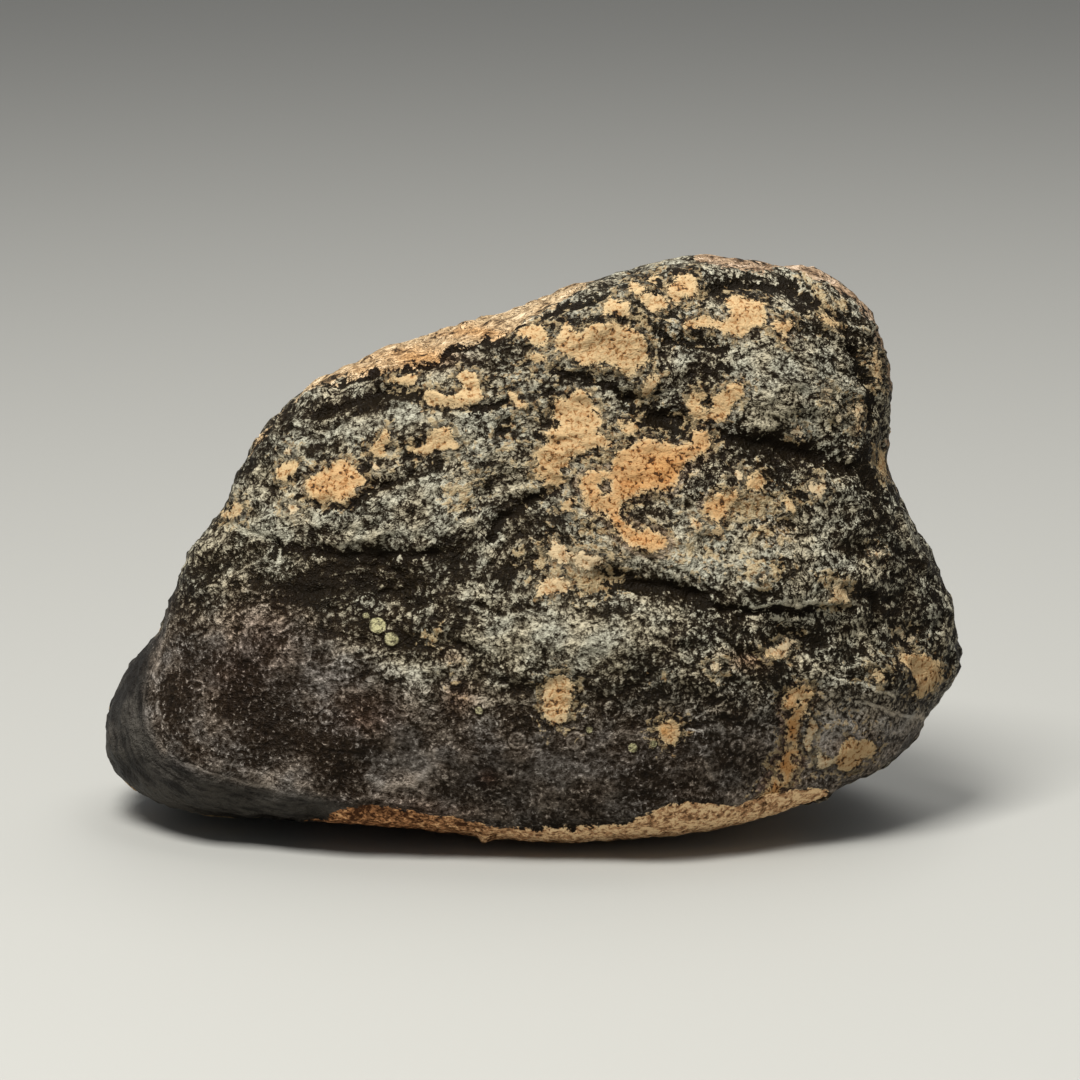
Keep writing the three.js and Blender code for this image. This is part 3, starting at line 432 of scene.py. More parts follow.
# Round grains of the stone: place, radius, height, and how pale (minus is dark).
ROUND_GRAINS = [
    ((-9.5, 13.5), 0.5, 0.16, 1.0),
    ((-8.7, 12.7), 0.42, 0.14, 0.58),
    ((-10.1, 14.9), 0.46, 0.14, 0.1),
    ((-10.2, 14.1), 0.22, 0.08, 0.6),
    ((6.7, 28.0), 0.7, 0.12, 0.3),
    ((8.2, 31.5), 0.62, 0.1, 0.4),
    ((14.0, 30.9), 0.5, 0.1, -0.2),
    ((-5.0, 11.6), 0.55, 0.08, 0.1),
    ((-3.4, 8.4), 0.26, 0.1, 0.6),
    ((5.85, 6.15), 0.3, 0.08, 1.0),
    ((7.1, 6.4), 0.24, 0.06, 0.9),
    ((3.25, 7.25), 0.22, 0.05, 0.8),
    ((4.6, 8.5), 0.55, 0.06, 0.0),
    ((2.4, 6.6), 0.6, 0.05, 0.0),
    ((-1.1, 6.6), 0.58, 0.05, -0.1),
    ((-15.4, 15.4), 0.4, 0.05, 0.1),
    ((-12.6, 8.0), 0.5, 0.05, 0.0),
    ((10.2, 9.6), 0.45, 0.05, 0.0),
    ((12.2, 6.2), 0.5, 0.05, -0.1),
    ((10.4, 26.9), 0.26, -0.25, -1.0),
]

# The nub that hangs from the tan base: place, radius, how far it stands out.
NUB = ((-3.1, 0.75), 0.42, 0.5)

# Away from the broad face: where patches of tan stone gather, a place and its half-sizes.
TAN_ELSEWHERE = [
    ((-8.0, 3.0, 29.0), (8.0, 6.0, 2.8)),
    ((3.0, 2.0, 33.5), (3.0, 4.0, 2.0)),
    ((12.5, -1.0, 34.0), (2.0, 1.4, 1.2)),
    ((20.8, -2.0, 26.0), (1.4, 3.0, 3.4)),
    ((19.0, 3.0, 30.0), (1.8, 3.2, 2.0)),
    ((-5.0, 14.0, 18.0), (5.5, 4.0, 3.0)),
    ((3.0, 15.0, 10.0), (3.2, 4.0, 3.6)),
    ((11.0, 11.0, 22.0), (3.4, 4.0, 2.4)),
    ((-17.0, 8.0, 15.0), (3.0, 4.0, 3.0)),
    ((17.5, 8.0, 9.0), (3.6, 3.5, 2.6)),
    ((22.0, 4.0, 15.0), (2.0, 2.6, 2.6)),
    ((-19.0, 9.0, 5.0), (2.6, 2.6, 1.6)),
]

# ---- The skin's grid, its tints and the stage ----

# The skin's grid starts from a core inside the stone, spread like its sizes and pulled to the broad face.
WRAP_CORE = Vector((0.6, 0.5, 15.0))
WRAP_SPREAD = np.sqrt([26.0, 16.0, 17.5])
WRAP_LEAN = np.array([0.0, -0.3, 0.0])
WRAP_EVENING = 6  # rounds in which each corner's distance is evened out with its neighbours'

FOOT_CLEARANCE = 0.02  # keeps the flat underside off the floor, so that the two don't flicker
FAR_OUTSIDE = -3.0  # how deep inside a patch or an edge a place counts as, when it is nowhere near
LINE_REACH = 4.0  # half-widths from a line's middle, beyond which they are no longer counted
BUMP_HEIGHT = 0.00017  # in metres

# Tints, which multiply a colour.
WARM_TINT = (1.07, 0.99, 0.90)
RUST_TINT = (1.25, 0.80, 0.62)
CALM_TINT = (0.90, 0.85, 0.98)
ORANGE_TINT = (0.95, 0.68, 0.46)
CREAM_TINT = (0.98, 1.14, 1.45)
BITS_TINT = (0.78, 0.80, 0.80)
RIM_RUST_TINT = (0.95, 0.70, 0.46)
RIM_RIGHT_TINT = (0.78, 0.75, 0.82)
BASE_LEFT_TINT = (1.02, 0.86, 0.74)

# Colours that stay the same whatever the user's settings are.
LOBE_DARK, LOBE_PALE = (0.0115, 0.0100, 0.0083), (0.0455, 0.0408, 0.0335)
CREAM_DARK, CREAM_PALE = (0.09, 0.078, 0.042), (0.30, 0.275, 0.145)
# Painted shade round the tan patches' edges.
PATCH_EDGE_SHADE = (0.007, 0.0055, 0.004)
PORE_BROWN = (0.045, 0.027, 0.014)
BASE_PALE = (0.82, 0.58, 0.32)
RIM_STOPS = [
    (0.1, (0.02, 0.015, 0.01)), (0.32, (0.13, 0.082, 0.042)), (0.6, (0.38, 0.27, 0.15)),
    (0.95, (0.54, 0.42, 0.27)),
]

# The stage, in metres.
KEY_PLACE, KEY_SIZE = (-0.09, -0.18, 0.36), 0.16
TOP_PLACE, TOP_SIZE = (0.10, 0.12, 0.40), 0.30
LIGHT_AIM = (0, 0, 0.015)
ROOM_COLOUR = (0.96, 0.975, 1.0)
LENS_LENGTH = 166.0  # in millimetres, for a sensor 36 mm wide

# ---- Sizes and finishes that a user would change ----


def colour_setting(name, description, default):
    return FloatVectorProperty(
        name=name, description=description, default=default, subtype="COLOR", min=0.0, max=1.0
    )


def relief_setting(name, description, default, largest):
    return FloatProperty(
        name=name, description=description, default=default, min=0.0, max=largest, unit="LENGTH", precision=6
    )


class StoneSettings(bpy.types.PropertyGroup):
    cells: IntProperty(
        name="Skin cells",
        description="Cells along each edge of the grid that is wrapped round the stone",
        default=126,
        min=16,
        max=128,
    )
    grain_relief: relief_setting("Grain relief", "How far the grain of the crust stands out", 0.00011, 0.0004)
    patch_height: relief_setting(
        "Patch height", "How far the tan patches stand out from the crust", 0.000048, 0.0002
    )
    crust_lip: relief_setting("Crust lip", "How far the crust stands out over the tan base", 0.0002, 0.001)
    crust_dark: colour_setting("Dark crust", "Colour of the bare crust", (0.0165, 0.0113, 0.0052))
    # The pale grain is partly the grains' own grey and partly a painted sheen off them.
    crust_grey: colour_setting("Grey grain", "Colour of the pale grain of the crust", (0.264, 0.252, 0.192))
    crust_bright: colour_setting("Bright grain", "Colour of the brightest grains", (0.322, 0.306, 0.232))
    tan_pale: colour_setting("Pale tan", "Colour of the tan patches", (0.392, 0.287, 0.153))
    tan_orange: colour_setting("Orange tan", "Colour of the rusty cores of the patches", (0.40, 0.20, 0.07))
    base_tan: colour_setting("Base tan", "Colour of the bare stone under the crust", (0.50, 0.275, 0.132))
    base_brown: colour_setting("Base brown", "Colour of the bare stone in its pores", (0.06, 0.027, 0.012))


class StageSettings(bpy.types.PropertyGroup):
    floor_size: FloatProperty(
        name="Floor size", description="Side of the floor", default=4.0, min=0.5, unit="LENGTH"
    )
    floor_colour: colour_setting("Floor colour", "Colour of the floor", (0.298, 0.292, 0.265))
    key_power: FloatProperty(
        name="Key light",
        description="Power of the soft light above, in front and to the left",
        default=3.35,
        min=0.0,
        unit="POWER",
    )
    top_power: FloatProperty(
        name="Top light",
        description="Power of the soft light above and behind",
        default=0.9,
        min=0.0,
        unit="POWER",
    )
    sky: FloatProperty(
        name="Room light", description="Strength of the light from all round", default=0.32, min=0.0
    )
    elevation: FloatProperty(
        name="Camera elevation",
        description="How far above level the camera looks down from",
        default=FACE_LEAN,
        subtype="ANGLE",
    )


# ---- Geometry helpers ----


def smoothstep(low, high, value):
    t = np.clip((value - low) / (high - low), 0.0, 1.0)
    return t * t * (3 - 2 * t)


def ball_grid(cells):
    """Directions to the corners of an even grid on a ball, and the quads between them."""
    a, b = np.meshgrid(np.arange(cells + 1), np.arange(cells + 1), indexing="ij")
    cell = np.arange((cells + 1) ** 2).reshape(cells + 1, cells + 1)
    quad = np.stack([cell[:-1, :-1], cell[1:, :-1], cell[1:, 1:], cell[:-1, 1:]], -1).reshape(-1, 4)
    corners, quads = [], []
    for axis in range(3):
        for side in (0, cells):
            sheet = np.empty((cells + 1, cells + 1, 3), int)
            sheet[..., axis] = side
            sheet[..., (axis + 1) % 3] = a
            sheet[..., (axis + 2) % 3] = b
            quads.append((quad if side else quad[:, ::-1]) + len(corners) * cell.size)
            corners.append(sheet.reshape(-1, 3))
    corners, kept = np.unique(np.concatenate(corners), axis=0, return_inverse=True)
    directions = np.tan((corners / cells - 0.5) * (math.pi / 2))
    return directions, kept.reshape(-1)[np.concatenate(quads)]


def unit(vectors):
    return vectors / np.linalg.norm(vectors, axis=1)[:, None]


def blurred(values, quads, rounds):
    """Values at the quads' corners, each evened out with its neighbours'."""
    edges = np.concatenate([quads[:, [i, (i + 1) % 4]] for i in range(4)])
    counts = np.bincount(edges[:, 0], minlength=len(values)).astype(float)
    for _ in range(rounds):
        total = np.bincount(edges[:, 0], weights=values[edges[:, 1]], minlength=len(values))
        values = (values + total / counts) / 2
    return values


def noise_at(points, wave, octaves=2, shift=0.0):
    """Smooth noise of about -1 to 1 at points in millimetres: each shift gives noise of its own."""
    increment, lacunarity = 1.0, 2.0
    places = points / wave + shift
    return np.array([noise.fractal(Vector(p), increment, lacunarity, octaves) for p in places])


def path_distance(across, up, path):
    """Distance from each place to a path of straight lines."""
    best = np.full(len(across), np.inf)
    for (x0, y0), (x1, y1) in zip(path, path[1:]):
        dx, dy = x1 - x0, y1 - y0
        along = np.clip(((across - x0) * dx + (up - y0) * dy) / (dx * dx + dy * dy), 0, 1)
        best = np.minimum(best, np.hypot(across - x0 - along * dx, up - y0 - along * dy))
    return best


def side_of_path(across, up, path):
    """Distance from each place to a path, less than nothing to the right of it, but not past its ends."""
    best = np.full(len(across), np.inf)
    side = np.ones(len(across))
    last = len(path) - 2
    for i, ((x0, y0), (x1, y1)) in enumerate(zip(path, path[1:])):
        dx, dy = x1 - x0, y1 - y0
        along = ((across - x0) * dx + (up - y0) * dy) / (dx * dx + dy * dy)
        past = ((along < 0) & (i == 0)) | ((along > 1) & (i == last))
        along = np.clip(along, 0, 1)
        distance = np.hypot(across - x0 - along * dx, up - y0 - along * dy)
        left = past | (dx * (up - y0) > dy * (across - x0))
        side = np.where(distance < best, np.where(left, 1.0, -1.0), side)
        best = np.minimum(best, distance)
    return best * side


def nearest_line(across, up, grooves):
    """How many half-widths each place is to the side of the nearest line, and how strong the line is."""
    line = np.full(len(across), LINE_REACH)
    strength = np.zeros(len(across))
    best = np.full(len(across), np.inf)
    for _, half_width, _, line_tone, path in grooves:
        side = side_of_path(across, up, path)
        closer = np.abs(side) < best
        line = np.where(closer, np.clip(side / half_width, -LINE_REACH, LINE_REACH), line)
        fading = np.exp(-((side / (0.35 + half_width)) ** 2))
        strength = np.where(closer, abs(line_tone) * fading, strength)
        best = np.minimum(best, np.abs(side))
    return line, strength


def outline_depth(across, up, outline):
    """How far inside a closed outline each place is, and less than nothing outside it."""
    x, y = np.array(outline).T
    margin = -FAR_OUTSIDE
    near_across = np.abs(across - x.mean()) < np.ptp(x) / 2 + margin
    near = near_across & (np.abs(up - y.mean()) < np.ptp(y) / 2 + margin)
    depth = np.full(len(across), FAR_OUTSIDE)
    a, b = across[near], up[near]
    inside = np.zeros(len(a), bool)
    for x0, y0, x1, y1 in zip(x, y, np.roll(x, -1), np.roll(y, -1)):
        crosses = (y0 > b) != (y1 > b)
        inside ^= crosses & (a < x0 + (b - y0) * (x1 - x0) / np.where(y1 == y0, 1, y1 - y0))
    distance = path_distance(a, b, [*outline, outline[0]])
    depth[near] = np.where(inside, distance, -distance)
    return depth


def bell(across, up, centre, size, turn=0.0):
    """1 at the centre, falling away over the half-sizes, which are turned by degrees."""
    c, s = math.cos(math.radians(turn)), math.sin(math.radians(turn))
    dx, dy = across - centre[0], up - centre[1]
    return np.exp(-(((dx * c + dy * s) / size[0]) ** 2) - ((dy * c - dx * s) / size[1]) ** 2)


# ---- The skin ----


def on_face(points):
    """Sideways, up and depth of points in millimetres, as the broad face is seen."""
    behind = points[:, 1] - FACE_FOOT[1]
    across = points[:, 0] - FACE_FOOT[0]
    up = points[:, 2] * math.cos(FACE_LEAN) + behind * math.sin(FACE_LEAN)
    depth = behind * math.cos(FACE_LEAN) - points[:, 2] * math.sin(FACE_LEAN)
    nearness = EYE_DISTANCE / (EYE_DISTANCE + depth - EYE_AIM[2])
    return (
        EYE_AIM[0] + (across - EYE_AIM[0]) * nearness,
        EYE_AIM[1] + (up - EYE_AIM[1]) * nearness,
        depth,
    )


def solid_tree():
    """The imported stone, rounded off between its facets, for casting rays at."""
    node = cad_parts["stone"]
    mesh = node.data.copy()
    probe = bpy.data.objects.new("probe", mesh)
    bpy.context.scene.collection.objects.link(probe)
    weld = probe.modifiers.new("weld", "WELD")
    weld.merge_threshold = 1e-6
    probe.modifiers.new("round", "SUBSURF").levels = 1
    tree = BVHTree.FromObject(probe, bpy.context.evaluated_depsgraph_get())
    bpy.data.objects.remove(probe)
    bpy.data.meshes.remove(mesh)
    return tree


def wrapped_points(settings):
    """Corners of the skin in millimetres, closer together on the broad face, and its quads."""
    directions, quads = ball_grid(settings.cells)
    directions = unit(unit(unit(directions) * WRAP_SPREAD / WRAP_SPREAD.max()) + WRAP_LEAN)
    tree = solid_tree()
    start = WRAP_CORE * MM
    radius = np.empty(len(directions))
    for i, direction in enumerate(directions):
        hit = tree.ray_cast(start, Vector(direction))
        if hit[0] is None:
            raise RuntimeError("the stone's solid has a gap, so its skin can't be laid over it")
        radius[i] = hit[3] / MM
    radius = blurred(radius, quads, WRAP_EVENING)
    return np.array(WRAP_CORE) + directions * radius[:, None], quads


def normals_of(points, quads):
    a, b, c, d = (points[quads[:, i]] for i in range(4))
    facing = np.cross(c - a, d - b)
    total = np.zeros_like(points)
    for i in range(4):
        for axis in range(3):
            total[:, axis] += np.bincount(quads[:, i], weights=facing[:, axis], minlength=len(points))
    return unit(total)


def strata(across, up, depth):
    """Height through the stone's faint layers, whose lines show as the direction of the grain."""
    rise_left = 0.22 * (across + 4.0) * smoothstep(4.0, -12.0, across) * smoothstep(12.0, 24.0, up)
    dip_middle = -1.9 * bell(across, up, (-0.6, 19.6), (3.4, 3.6))
    fall_right = 0.12 * (across - 8.0) * smoothstep(6.0, 16.0, across)
    arch = -0.035 * (across - 7.0) ** 2 * smoothstep(26.0, 33.0, up) * smoothstep(-8.0, 0.0, across)
    return up - rise_left + dip_middle + fall_right - arch + 0.1 * depth


def along_layers(f, across_share):
    """Places for noise that is drawn out along the stone's layers."""
    return np.stack([f.across * across_share, f.layers, f.depth * 0.7], axis=1)


def outside_crease(across, up):
    """Distance past the lobe's crease, and less than nothing on the broad face's side of it."""
    falling, level = np.array(LOBE_CREASE[LOBE_TURN::-1]), np.array(LOBE_CREASE[LOBE_TURN:])
    below = up < np.interp(across, level[:, 0], level[:, 1])
    left = across < np.interp(up, falling[:, 1], falling[:, 0])
    outside = np.where(up > level[0, 1], left, below | left)
    distance = path_distance(across, up, LOBE_CREASE)
    return np.where(outside, distance, -distance)


def add_lobe_and_skyline(f):
    """The lobe, the pale edges along the skyline, and the lines that run along both."""
    behind_lobe = (-17.5 - f.across + 3.0 * noise_at(f.points, 6.0, 2, 61.0)) * 0.35
    f.lobe = np.where(f.front > 0.02, outside_crease(f.across, f.up), behind_lobe)
    f.lobe_share = smoothstep(-0.3, 0.5, f.lobe) * smoothstep(-10.0, -13.0, f.across)

    broken = noise_at(f.points, 3.4, 3, 91.0)
    seen = smoothstep(-0.15, 0.2, f.towards)
    hidden = 1 - seen
    roof = f.up - np.interp(f.across, *np.transpose(ROOF_EDGE))
    roof = np.minimum(roof, np.minimum(f.across - ROOF_EDGE[0][0], ROOF_EDGE[-1][0] - f.across))
    (middle, far), (half_width, half_depth) = ROOF_SPREAD
    spread = 1.0 - ((f.across - middle) / half_width) ** 2 - ((f.depth - far) / half_depth) ** 2
    roof = roof * seen + 1.6 * (spread + broken) * hidden
    strips = [wide - path_distance(f.across, f.up, path) for path, wide in EDGE_STRIPS]
    strip = np.max(strips, axis=0) - (0.2 * np.maximum(f.depth - 2.0, 0) - 0.5 * broken) * hidden
    f.rim = np.maximum(np.where(f.up > ROOF_FOOT, roof, FAR_OUTSIDE), strip) + 0.15 * f.wobble
    rim_lines = 1.6 * f.rim * seen + (0.9 * f.depth + 0.25 * broken) * hidden
    f.streaks = np.where(f.rim > -0.6, rim_lines, f.lobe)


def add_base(f):
    """How far under the crust's lower edge each corner is."""
    height = f.up * f.front + (f.points[:, 2] + 0.25) * f.away
    edge = np.interp(f.across, *np.transpose(BASE_EDGE)) * f.front + (2.4 + f.wobble) * f.away
    left_end = f.across - BASE_LEFT + 1.2 * f.wobble * f.away
    right_end = BASE_RIGHT - f.across + 1.5 * f.wobble * f.away
    f.base = np.minimum(edge - height, np.minimum(left_end, right_end))
    f.base = f.base + 0.16 * f.ragged + 0.1 * f.wobble


def add_patches(f):
    """The tan patches and their pits, the grainy tan areas round them, and the rusty tint."""
    f.tan = np.full(len(f.points), FAR_OUTSIDE)
    f.rust = np.zeros(len(f.points))
    for _, orange, outline in TAN_PATCHES:
        inside = outline_depth(f.across, f.up, outline)
        f.rust = np.where(inside > np.maximum(f.tan, -0.3), orange, f.rust)
        f.tan = np.maximum(f.tan, inside)
    for place, radius in PITS:
        f.tan = np.minimum(f.tan, np.hypot(f.across - place[0], f.up - place[1]) - radius)
    f.tan = np.where(f.front > 0, f.tan + 0.08 * f.wobble + 0.08 * f.ragged, FAR_OUTSIDE)
    gathered = np.zeros(len(f.points))
    for centre, size in TAN_ELSEWHERE:
        away = np.linalg.norm((f.points - centre) / size, axis=1)
        gathered = np.maximum(gathered, np.exp(-(away**2)))
    behind = 2.6 * noise_at(f.points, 3.4, 4, 83.0) + 2.1 * gathered - 1.35
    f.tan = np.maximum(f.tan, np.where(f.away > 0.35, behind, FAR_OUTSIDE))
    f.tan = np.where(f.rim > 0, FAR_OUTSIDE, f.tan)

    mottle = 0.5 * smoothstep(-1.2, 0.0, f.tan)
    for _, centre, size, turn, amount in MOTTLED:
        mottle = np.maximum(mottle, amount * bell(f.across, f.up, centre, size, turn))
    f.mottle = np.maximum(mottle * f.front, f.away * smoothstep(-1.2, 0.6, behind) * 0.5)
    for centre, size, amount in RUSTY:
        f.rust = f.rust + (amount - f.rust) * bell(f.across, f.up, centre, size)
    f.rust = f.rust * f.front + f.away * smoothstep(0.2, 0.9, noise_at(f.points, 6.0, 2, 5.1)) * 0.8


def add_grain(f):
    """How much pale grain the crust has, with painted shade and sheen worked in, where it is smooth (calm) or
    fine (even), and its crevices.
    """
    calm_top = 11.5 + 5.5 * smoothstep(-6.0, -15.0, f.across)
    f.calm = np.clip(f.lobe_share + smoothstep(0.0, -5.5, f.up - calm_top), 0, 1) * f.front
    # The grain is paler higher up the face, partly a painted sheen where the face tilts up.
    grain = 0.44 + 0.16 * smoothstep(12.0, 20.0, f.up)
    f.even = np.zeros(len(f.points))
    for _, centre, size, turn, amount in GRAIN_AND_SHADING:
        here = bell(f.across, f.up, centre, size, turn)
        grain = grain + amount * here
        f.even = np.maximum(f.even, np.clip(amount * 5 - 0.6, 0, 1) * here * f.front)
    grain = grain * f.front + (0.42 + 0.3 * noise_at(f.points, 7.0, 2, 9.7)) * f.away
    # On the lobe the grain is paler towards its foot and darker at its top, a painted shade on its shadow
    # side.
    on_lobe = 0.24 + 0.2 * smoothstep(12.0, 6.0, f.up)
    grain = grain * (1 - f.lobe_share) + on_lobe * f.lobe_share

    layered = along_layers(f, 0.55)
    clumps = noise_at(layered, 2.2, 4, 12.0)
    f.crests = 0.5 - 2.2 * np.abs(noise_at(layered, 2.4, 3, 43.0))
    f.shade = noise_at(f.points, 1.8, 3, 23.0)
    ridges = 1 - np.abs(noise_at(layered, 3.0, 3, 31.0)) * 3.4
    here_and_there = smoothstep(-0.3, 0.3, noise_at(f.points, 6.5, 1, 71.0))
    crevice = smoothstep(0.5, 1.0, ridges) * here_and_there * (1 - 0.85 * f.calm)
    uneven = (0.3 * clumps + 0.2 * f.crests) * (1 - 0.55 * f.calm) * (1 - 0.6 * f.even)
    # The crevices are carved into the skin and also darkened here, a painted shade in them.
    f.grain_share = grain + uneven - 0.3 * crevice
    f.groove = 0.16 * crevice


def add_lines(f):
    """Grooves, dark and pale lines, and the round grains."""
    across, up = f.across + 0.3 * f.wobble, f.up + 0.25 * f.ragged
    for _, half_width, deep, _, path in GROOVES:
        reach = path_distance(across, up, path) / half_width
        f.groove = f.groove + deep * np.exp(-(reach**2)) * f.front
    # Dark lines are painted shade in the grooves; pale lines are pale cracks, scratches and folds, and
    # painted highlights along the lip.
    shaded_grooves = [groove for groove in GROOVES if groove[3] > 0]
    pale = [groove for groove in GROOVES if groove[3] < 0]
    f.dark_line, dark_strength = nearest_line(across, up, shaded_grooves)
    f.pale_line, pale_strength = nearest_line(across, up, pale)
    f.dark_strength, f.pale_strength = dark_strength * f.front, pale_strength * f.front

    f.ring = np.full(len(f.points), 1.0)
    f.body = np.zeros(len(f.points))
    for place, radius, _, paleness in ROUND_GRAINS:
        reach = np.hypot(f.across - place[0], f.up - place[1]) - radius
        f.body = np.where(reach < np.minimum(f.ring, 0.4), paleness, f.body)
        f.ring = np.where(f.front > 0.5, np.minimum(f.ring, reach), f.ring)


def fields_of(points, normals):
    """What the skin is like at each corner: distances in millimetres, and shares from 0 to 1."""
    f = SimpleNamespace(points=points)
    f.across, f.up, f.depth = on_face(points)
    f.towards = normals @ np.array([0, -math.cos(FACE_LEAN), math.sin(FACE_LEAN)])
    f.front = smoothstep(-0.05, 0.2, f.towards)
    f.away = 1 - f.front
    f.wobble = noise_at(points, 2.2, 3)
    f.ragged = noise_at(points, 0.9, 2, 17.3)
    f.layers = strata(f.across, f.up, f.depth)
    add_lobe_and_skyline(f)
    add_base(f)
    add_patches(f)
    add_grain(f)
    add_lines(f)
    return f


def relief_of(f, settings):
    """How far each corner is moved along its normal, in millimetres."""
    layered = along_layers(f, 0.6)
    coarse = noise_at(layered, 1.9, 3, 3.7)
    fine = noise_at(layered, 0.85, 2, 8.9)
    grain = (1.4 * coarse + 1.6 * fine + 1.5 * f.crests) * settings.grain_relief / MM
    patch = smoothstep(-0.16, 0.14, f.tan) * (1 - 0.625 * fine) * settings.patch_height / MM
    crust = (1 - 0.6 * f.calm) * grain - f.groove + patch
    in_base = smoothstep(-0.12, 0.16, f.base)
    pores = 0.13 * noise_at(f.points, 0.8, 3, 55.0)
    belly = 0.3 * bell(f.across, f.up, (1.5, 1.0), (4.5, 2.0)) * f.front
    move = crust * (1 - in_base) + (pores + belly) * in_base
    lip = np.exp(-(((f.base + 0.3) / 0.35) ** 2)) * settings.crust_lip / MM
    folds = 0.05 * np.sin(f.lobe * 5.2 + 2.4 * f.wobble) * f.lobe_share
    move = move + lip * (f.front > 0.1) + folds * f.front
    for place, radius, height, _ in ROUND_GRAINS:
        near = np.hypot(f.across - place[0], f.up - place[1]) / radius
        move = move + height * np.sqrt(np.clip(1 - near**2, 0, 1)) * f.front
    place, radius, height = NUB
    near = np.hypot(f.across - place[0], f.up - place[1]) / radius
    return move + height * np.exp(-near * near) * f.front


# What the material reads at the skin's corners: distances in millimetres, and shares from 0 to 1.
SKIN_FIELDS = (
    "base", "tan", "mottle", "rust", "grain_share", "lobe_share", "rim", "calm", "shade", "even",
    "dark_line", "dark_strength", "pale_line", "pale_strength", "ring", "body",
)


def skin_mesh(settings):
    points, quads = wrapped_points(settings)
    normals = normals_of(points, quads)
    f = fields_of(points, normals)
    moved = points + normals * relief_of(f, settings)[:, None]
    moved[:, 2] = np.maximum(moved[:, 2], FOOT_CLEARANCE)
    mesh = bpy.data.meshes.new(SKIN)
    mesh.from_pydata((moved * MM).tolist(), [], quads.tolist())
    mesh.shade_smooth()
    for name in SKIN_FIELDS:
        values = getattr(f, name).astype(np.float32)
        mesh.attributes.new(name, "FLOAT", "POINT").data.foreach_set("value", values)
    grain_rows = f.up + 0.4 * (f.layers - f.up)
    for name, along, lines in (("grain_place", 0.9, grain_rows), ("streak_place", 0.18, f.streaks)):
        place = np.stack([f.across * along, lines, f.depth * along], axis=1)
        attribute = mesh.attributes.new(name, "FLOAT_VECTOR", "POINT")
        attribute.data.foreach_set("vector", place.astype(np.float32).ravel())
    mesh.update()
    return mesh


# ---- Shader helpers ----


class Nodes:
    """Adds nodes to a tree and joins them."""

    def __init__(self, tree):
        self.tree = tree

    def add(self, kind, **settings):
        node = self.tree.nodes.new(kind)
        inputs = settings.pop("inputs", {})
        for key, value in settings.items():
            setattr(node, key, value)
        for key, value in inputs.items():
            self.feed(node.inputs[key], value)
        return node

    def feed(self, socket, value):
        if isinstance(value, bpy.types.NodeSocket):
            self.tree.links.new(value, socket)
        else:
            socket.default_value = value

    def math(self, operation, *values, clamp=False):
        node = self.add("ShaderNodeMath", operation=operation, use_clamp=clamp)
        for socket, value in zip(node.inputs, values):
            self.feed(socket, value)
        return node.outputs[0]

    def linear(self, value, slope, start):
        return self.math("MULTIPLY_ADD", value, slope, start)

    def total(self, *shares, start=0.0):
        """The start and the values, each times its share, added up."""
        result = start
        for value, share in shares:
            result = self.math("MULTIPLY_ADD", value, share, result)
        return result

    def step(self, value, low, high):
        """0 below low, 1 above high, smooth between."""
        node = self.add("ShaderNodeMapRange", interpolation_type="SMOOTHSTEP")
        for name, given in (("Value", value), ("From Min", low), ("From Max", high)):
            self.feed(node.inputs[name], given)
        return node.outputs["Result"]

    def band(self, value, middle, wide, narrow):
        """1 where the value is within narrow of the middle, 0 where it is further off than wide."""
        offset = self.math("SUBTRACT", value, middle) if middle else value
        return self.step(self.math("ABSOLUTE", offset), wide, narrow)

    def noise(self, place, scale, detail, roughness, distortion=0.0):
        node = self.add("ShaderNodeTexNoise", inputs={"Vector": place, "Scale": scale, "Detail": detail})
        self.feed(node.inputs["Roughness"], roughness)
        self.feed(node.inputs["Distortion"], distortion)
        return node.outputs["Fac"]

    def cells(self, place, scale, feature="F1", randomness=1.0):
        inputs = {"Vector": place, "Scale": scale, "Randomness": randomness}
        return self.add("ShaderNodeTexVoronoi", feature=feature, inputs=inputs).outputs

    def parts(self, vector):
        """The first, second and third number of a vector or a colour."""
        return self.add("ShaderNodeSeparateXYZ", inputs={0: vector}).outputs

    def attribute(self, name, output="Fac"):
        return self.add("ShaderNodeAttribute", attribute_name=name).outputs[output]

    def mix(self, share, a, b, blend_type="MIX"):
        node = self.add("ShaderNodeMix", data_type="RGBA", blend_type=blend_type)
        for name, value in (("Factor_Float", share), ("A_Color", a), ("B_Color", b)):
            socket = next(s for s in node.inputs if s.identifier == name)
            if not isinstance(value, (float, bpy.types.NodeSocket)):
                value = (*value[:3], 1.0)
            self.feed(socket, value)
        return next(s for s in node.outputs if s.identifier == "Result_Color")

    def tinted(self, colour, tint, share=1.0):
        """The colour times a tint, as far as the share says."""
        return self.mix(share, colour, tint, "MULTIPLY")

    def ramp(self, value, stops):
        """A colour that runs through the stops: value, colour."""
        node = self.add("ShaderNodeValToRGB", inputs={"Fac": value})
        points = node.color_ramp.elements
        while len(points) < len(stops):
            points.new(0.5)
        for point, (position, colour) in zip(points, stops):
            point.position = position
            point.color = (*colour, 1.0)
        return node.outputs["Color"]


def new_group(name, inputs, outputs):
    """A node group of numbers, whose inputs may be places, and its nodes, inputs and outputs."""
    tree = bpy.data.node_groups.new(name, "ShaderNodeTree")
    for socket_name, default in inputs:
        kind = "NodeSocketVector" if default is None else "NodeSocketFloat"
        socket = tree.interface.new_socket(socket_name, in_out="INPUT", socket_type=kind)
        if default is not None:
            socket.default_value = default
    for socket_name in outputs:
        tree.interface.new_socket(socket_name, in_out="OUTPUT", socket_type="NodeSocketFloat")
    nodes = Nodes(tree)
    return tree, nodes, nodes.add("NodeGroupInput").outputs, nodes.add("NodeGroupOutput").inputs


def use_group(n, tree, **inputs):
    node = n.add("ShaderNodeGroup", node_tree=tree)
    for name, value in inputs.items():
        n.feed(node.inputs[name.replace("_", " ")], value)
    return node.outputs


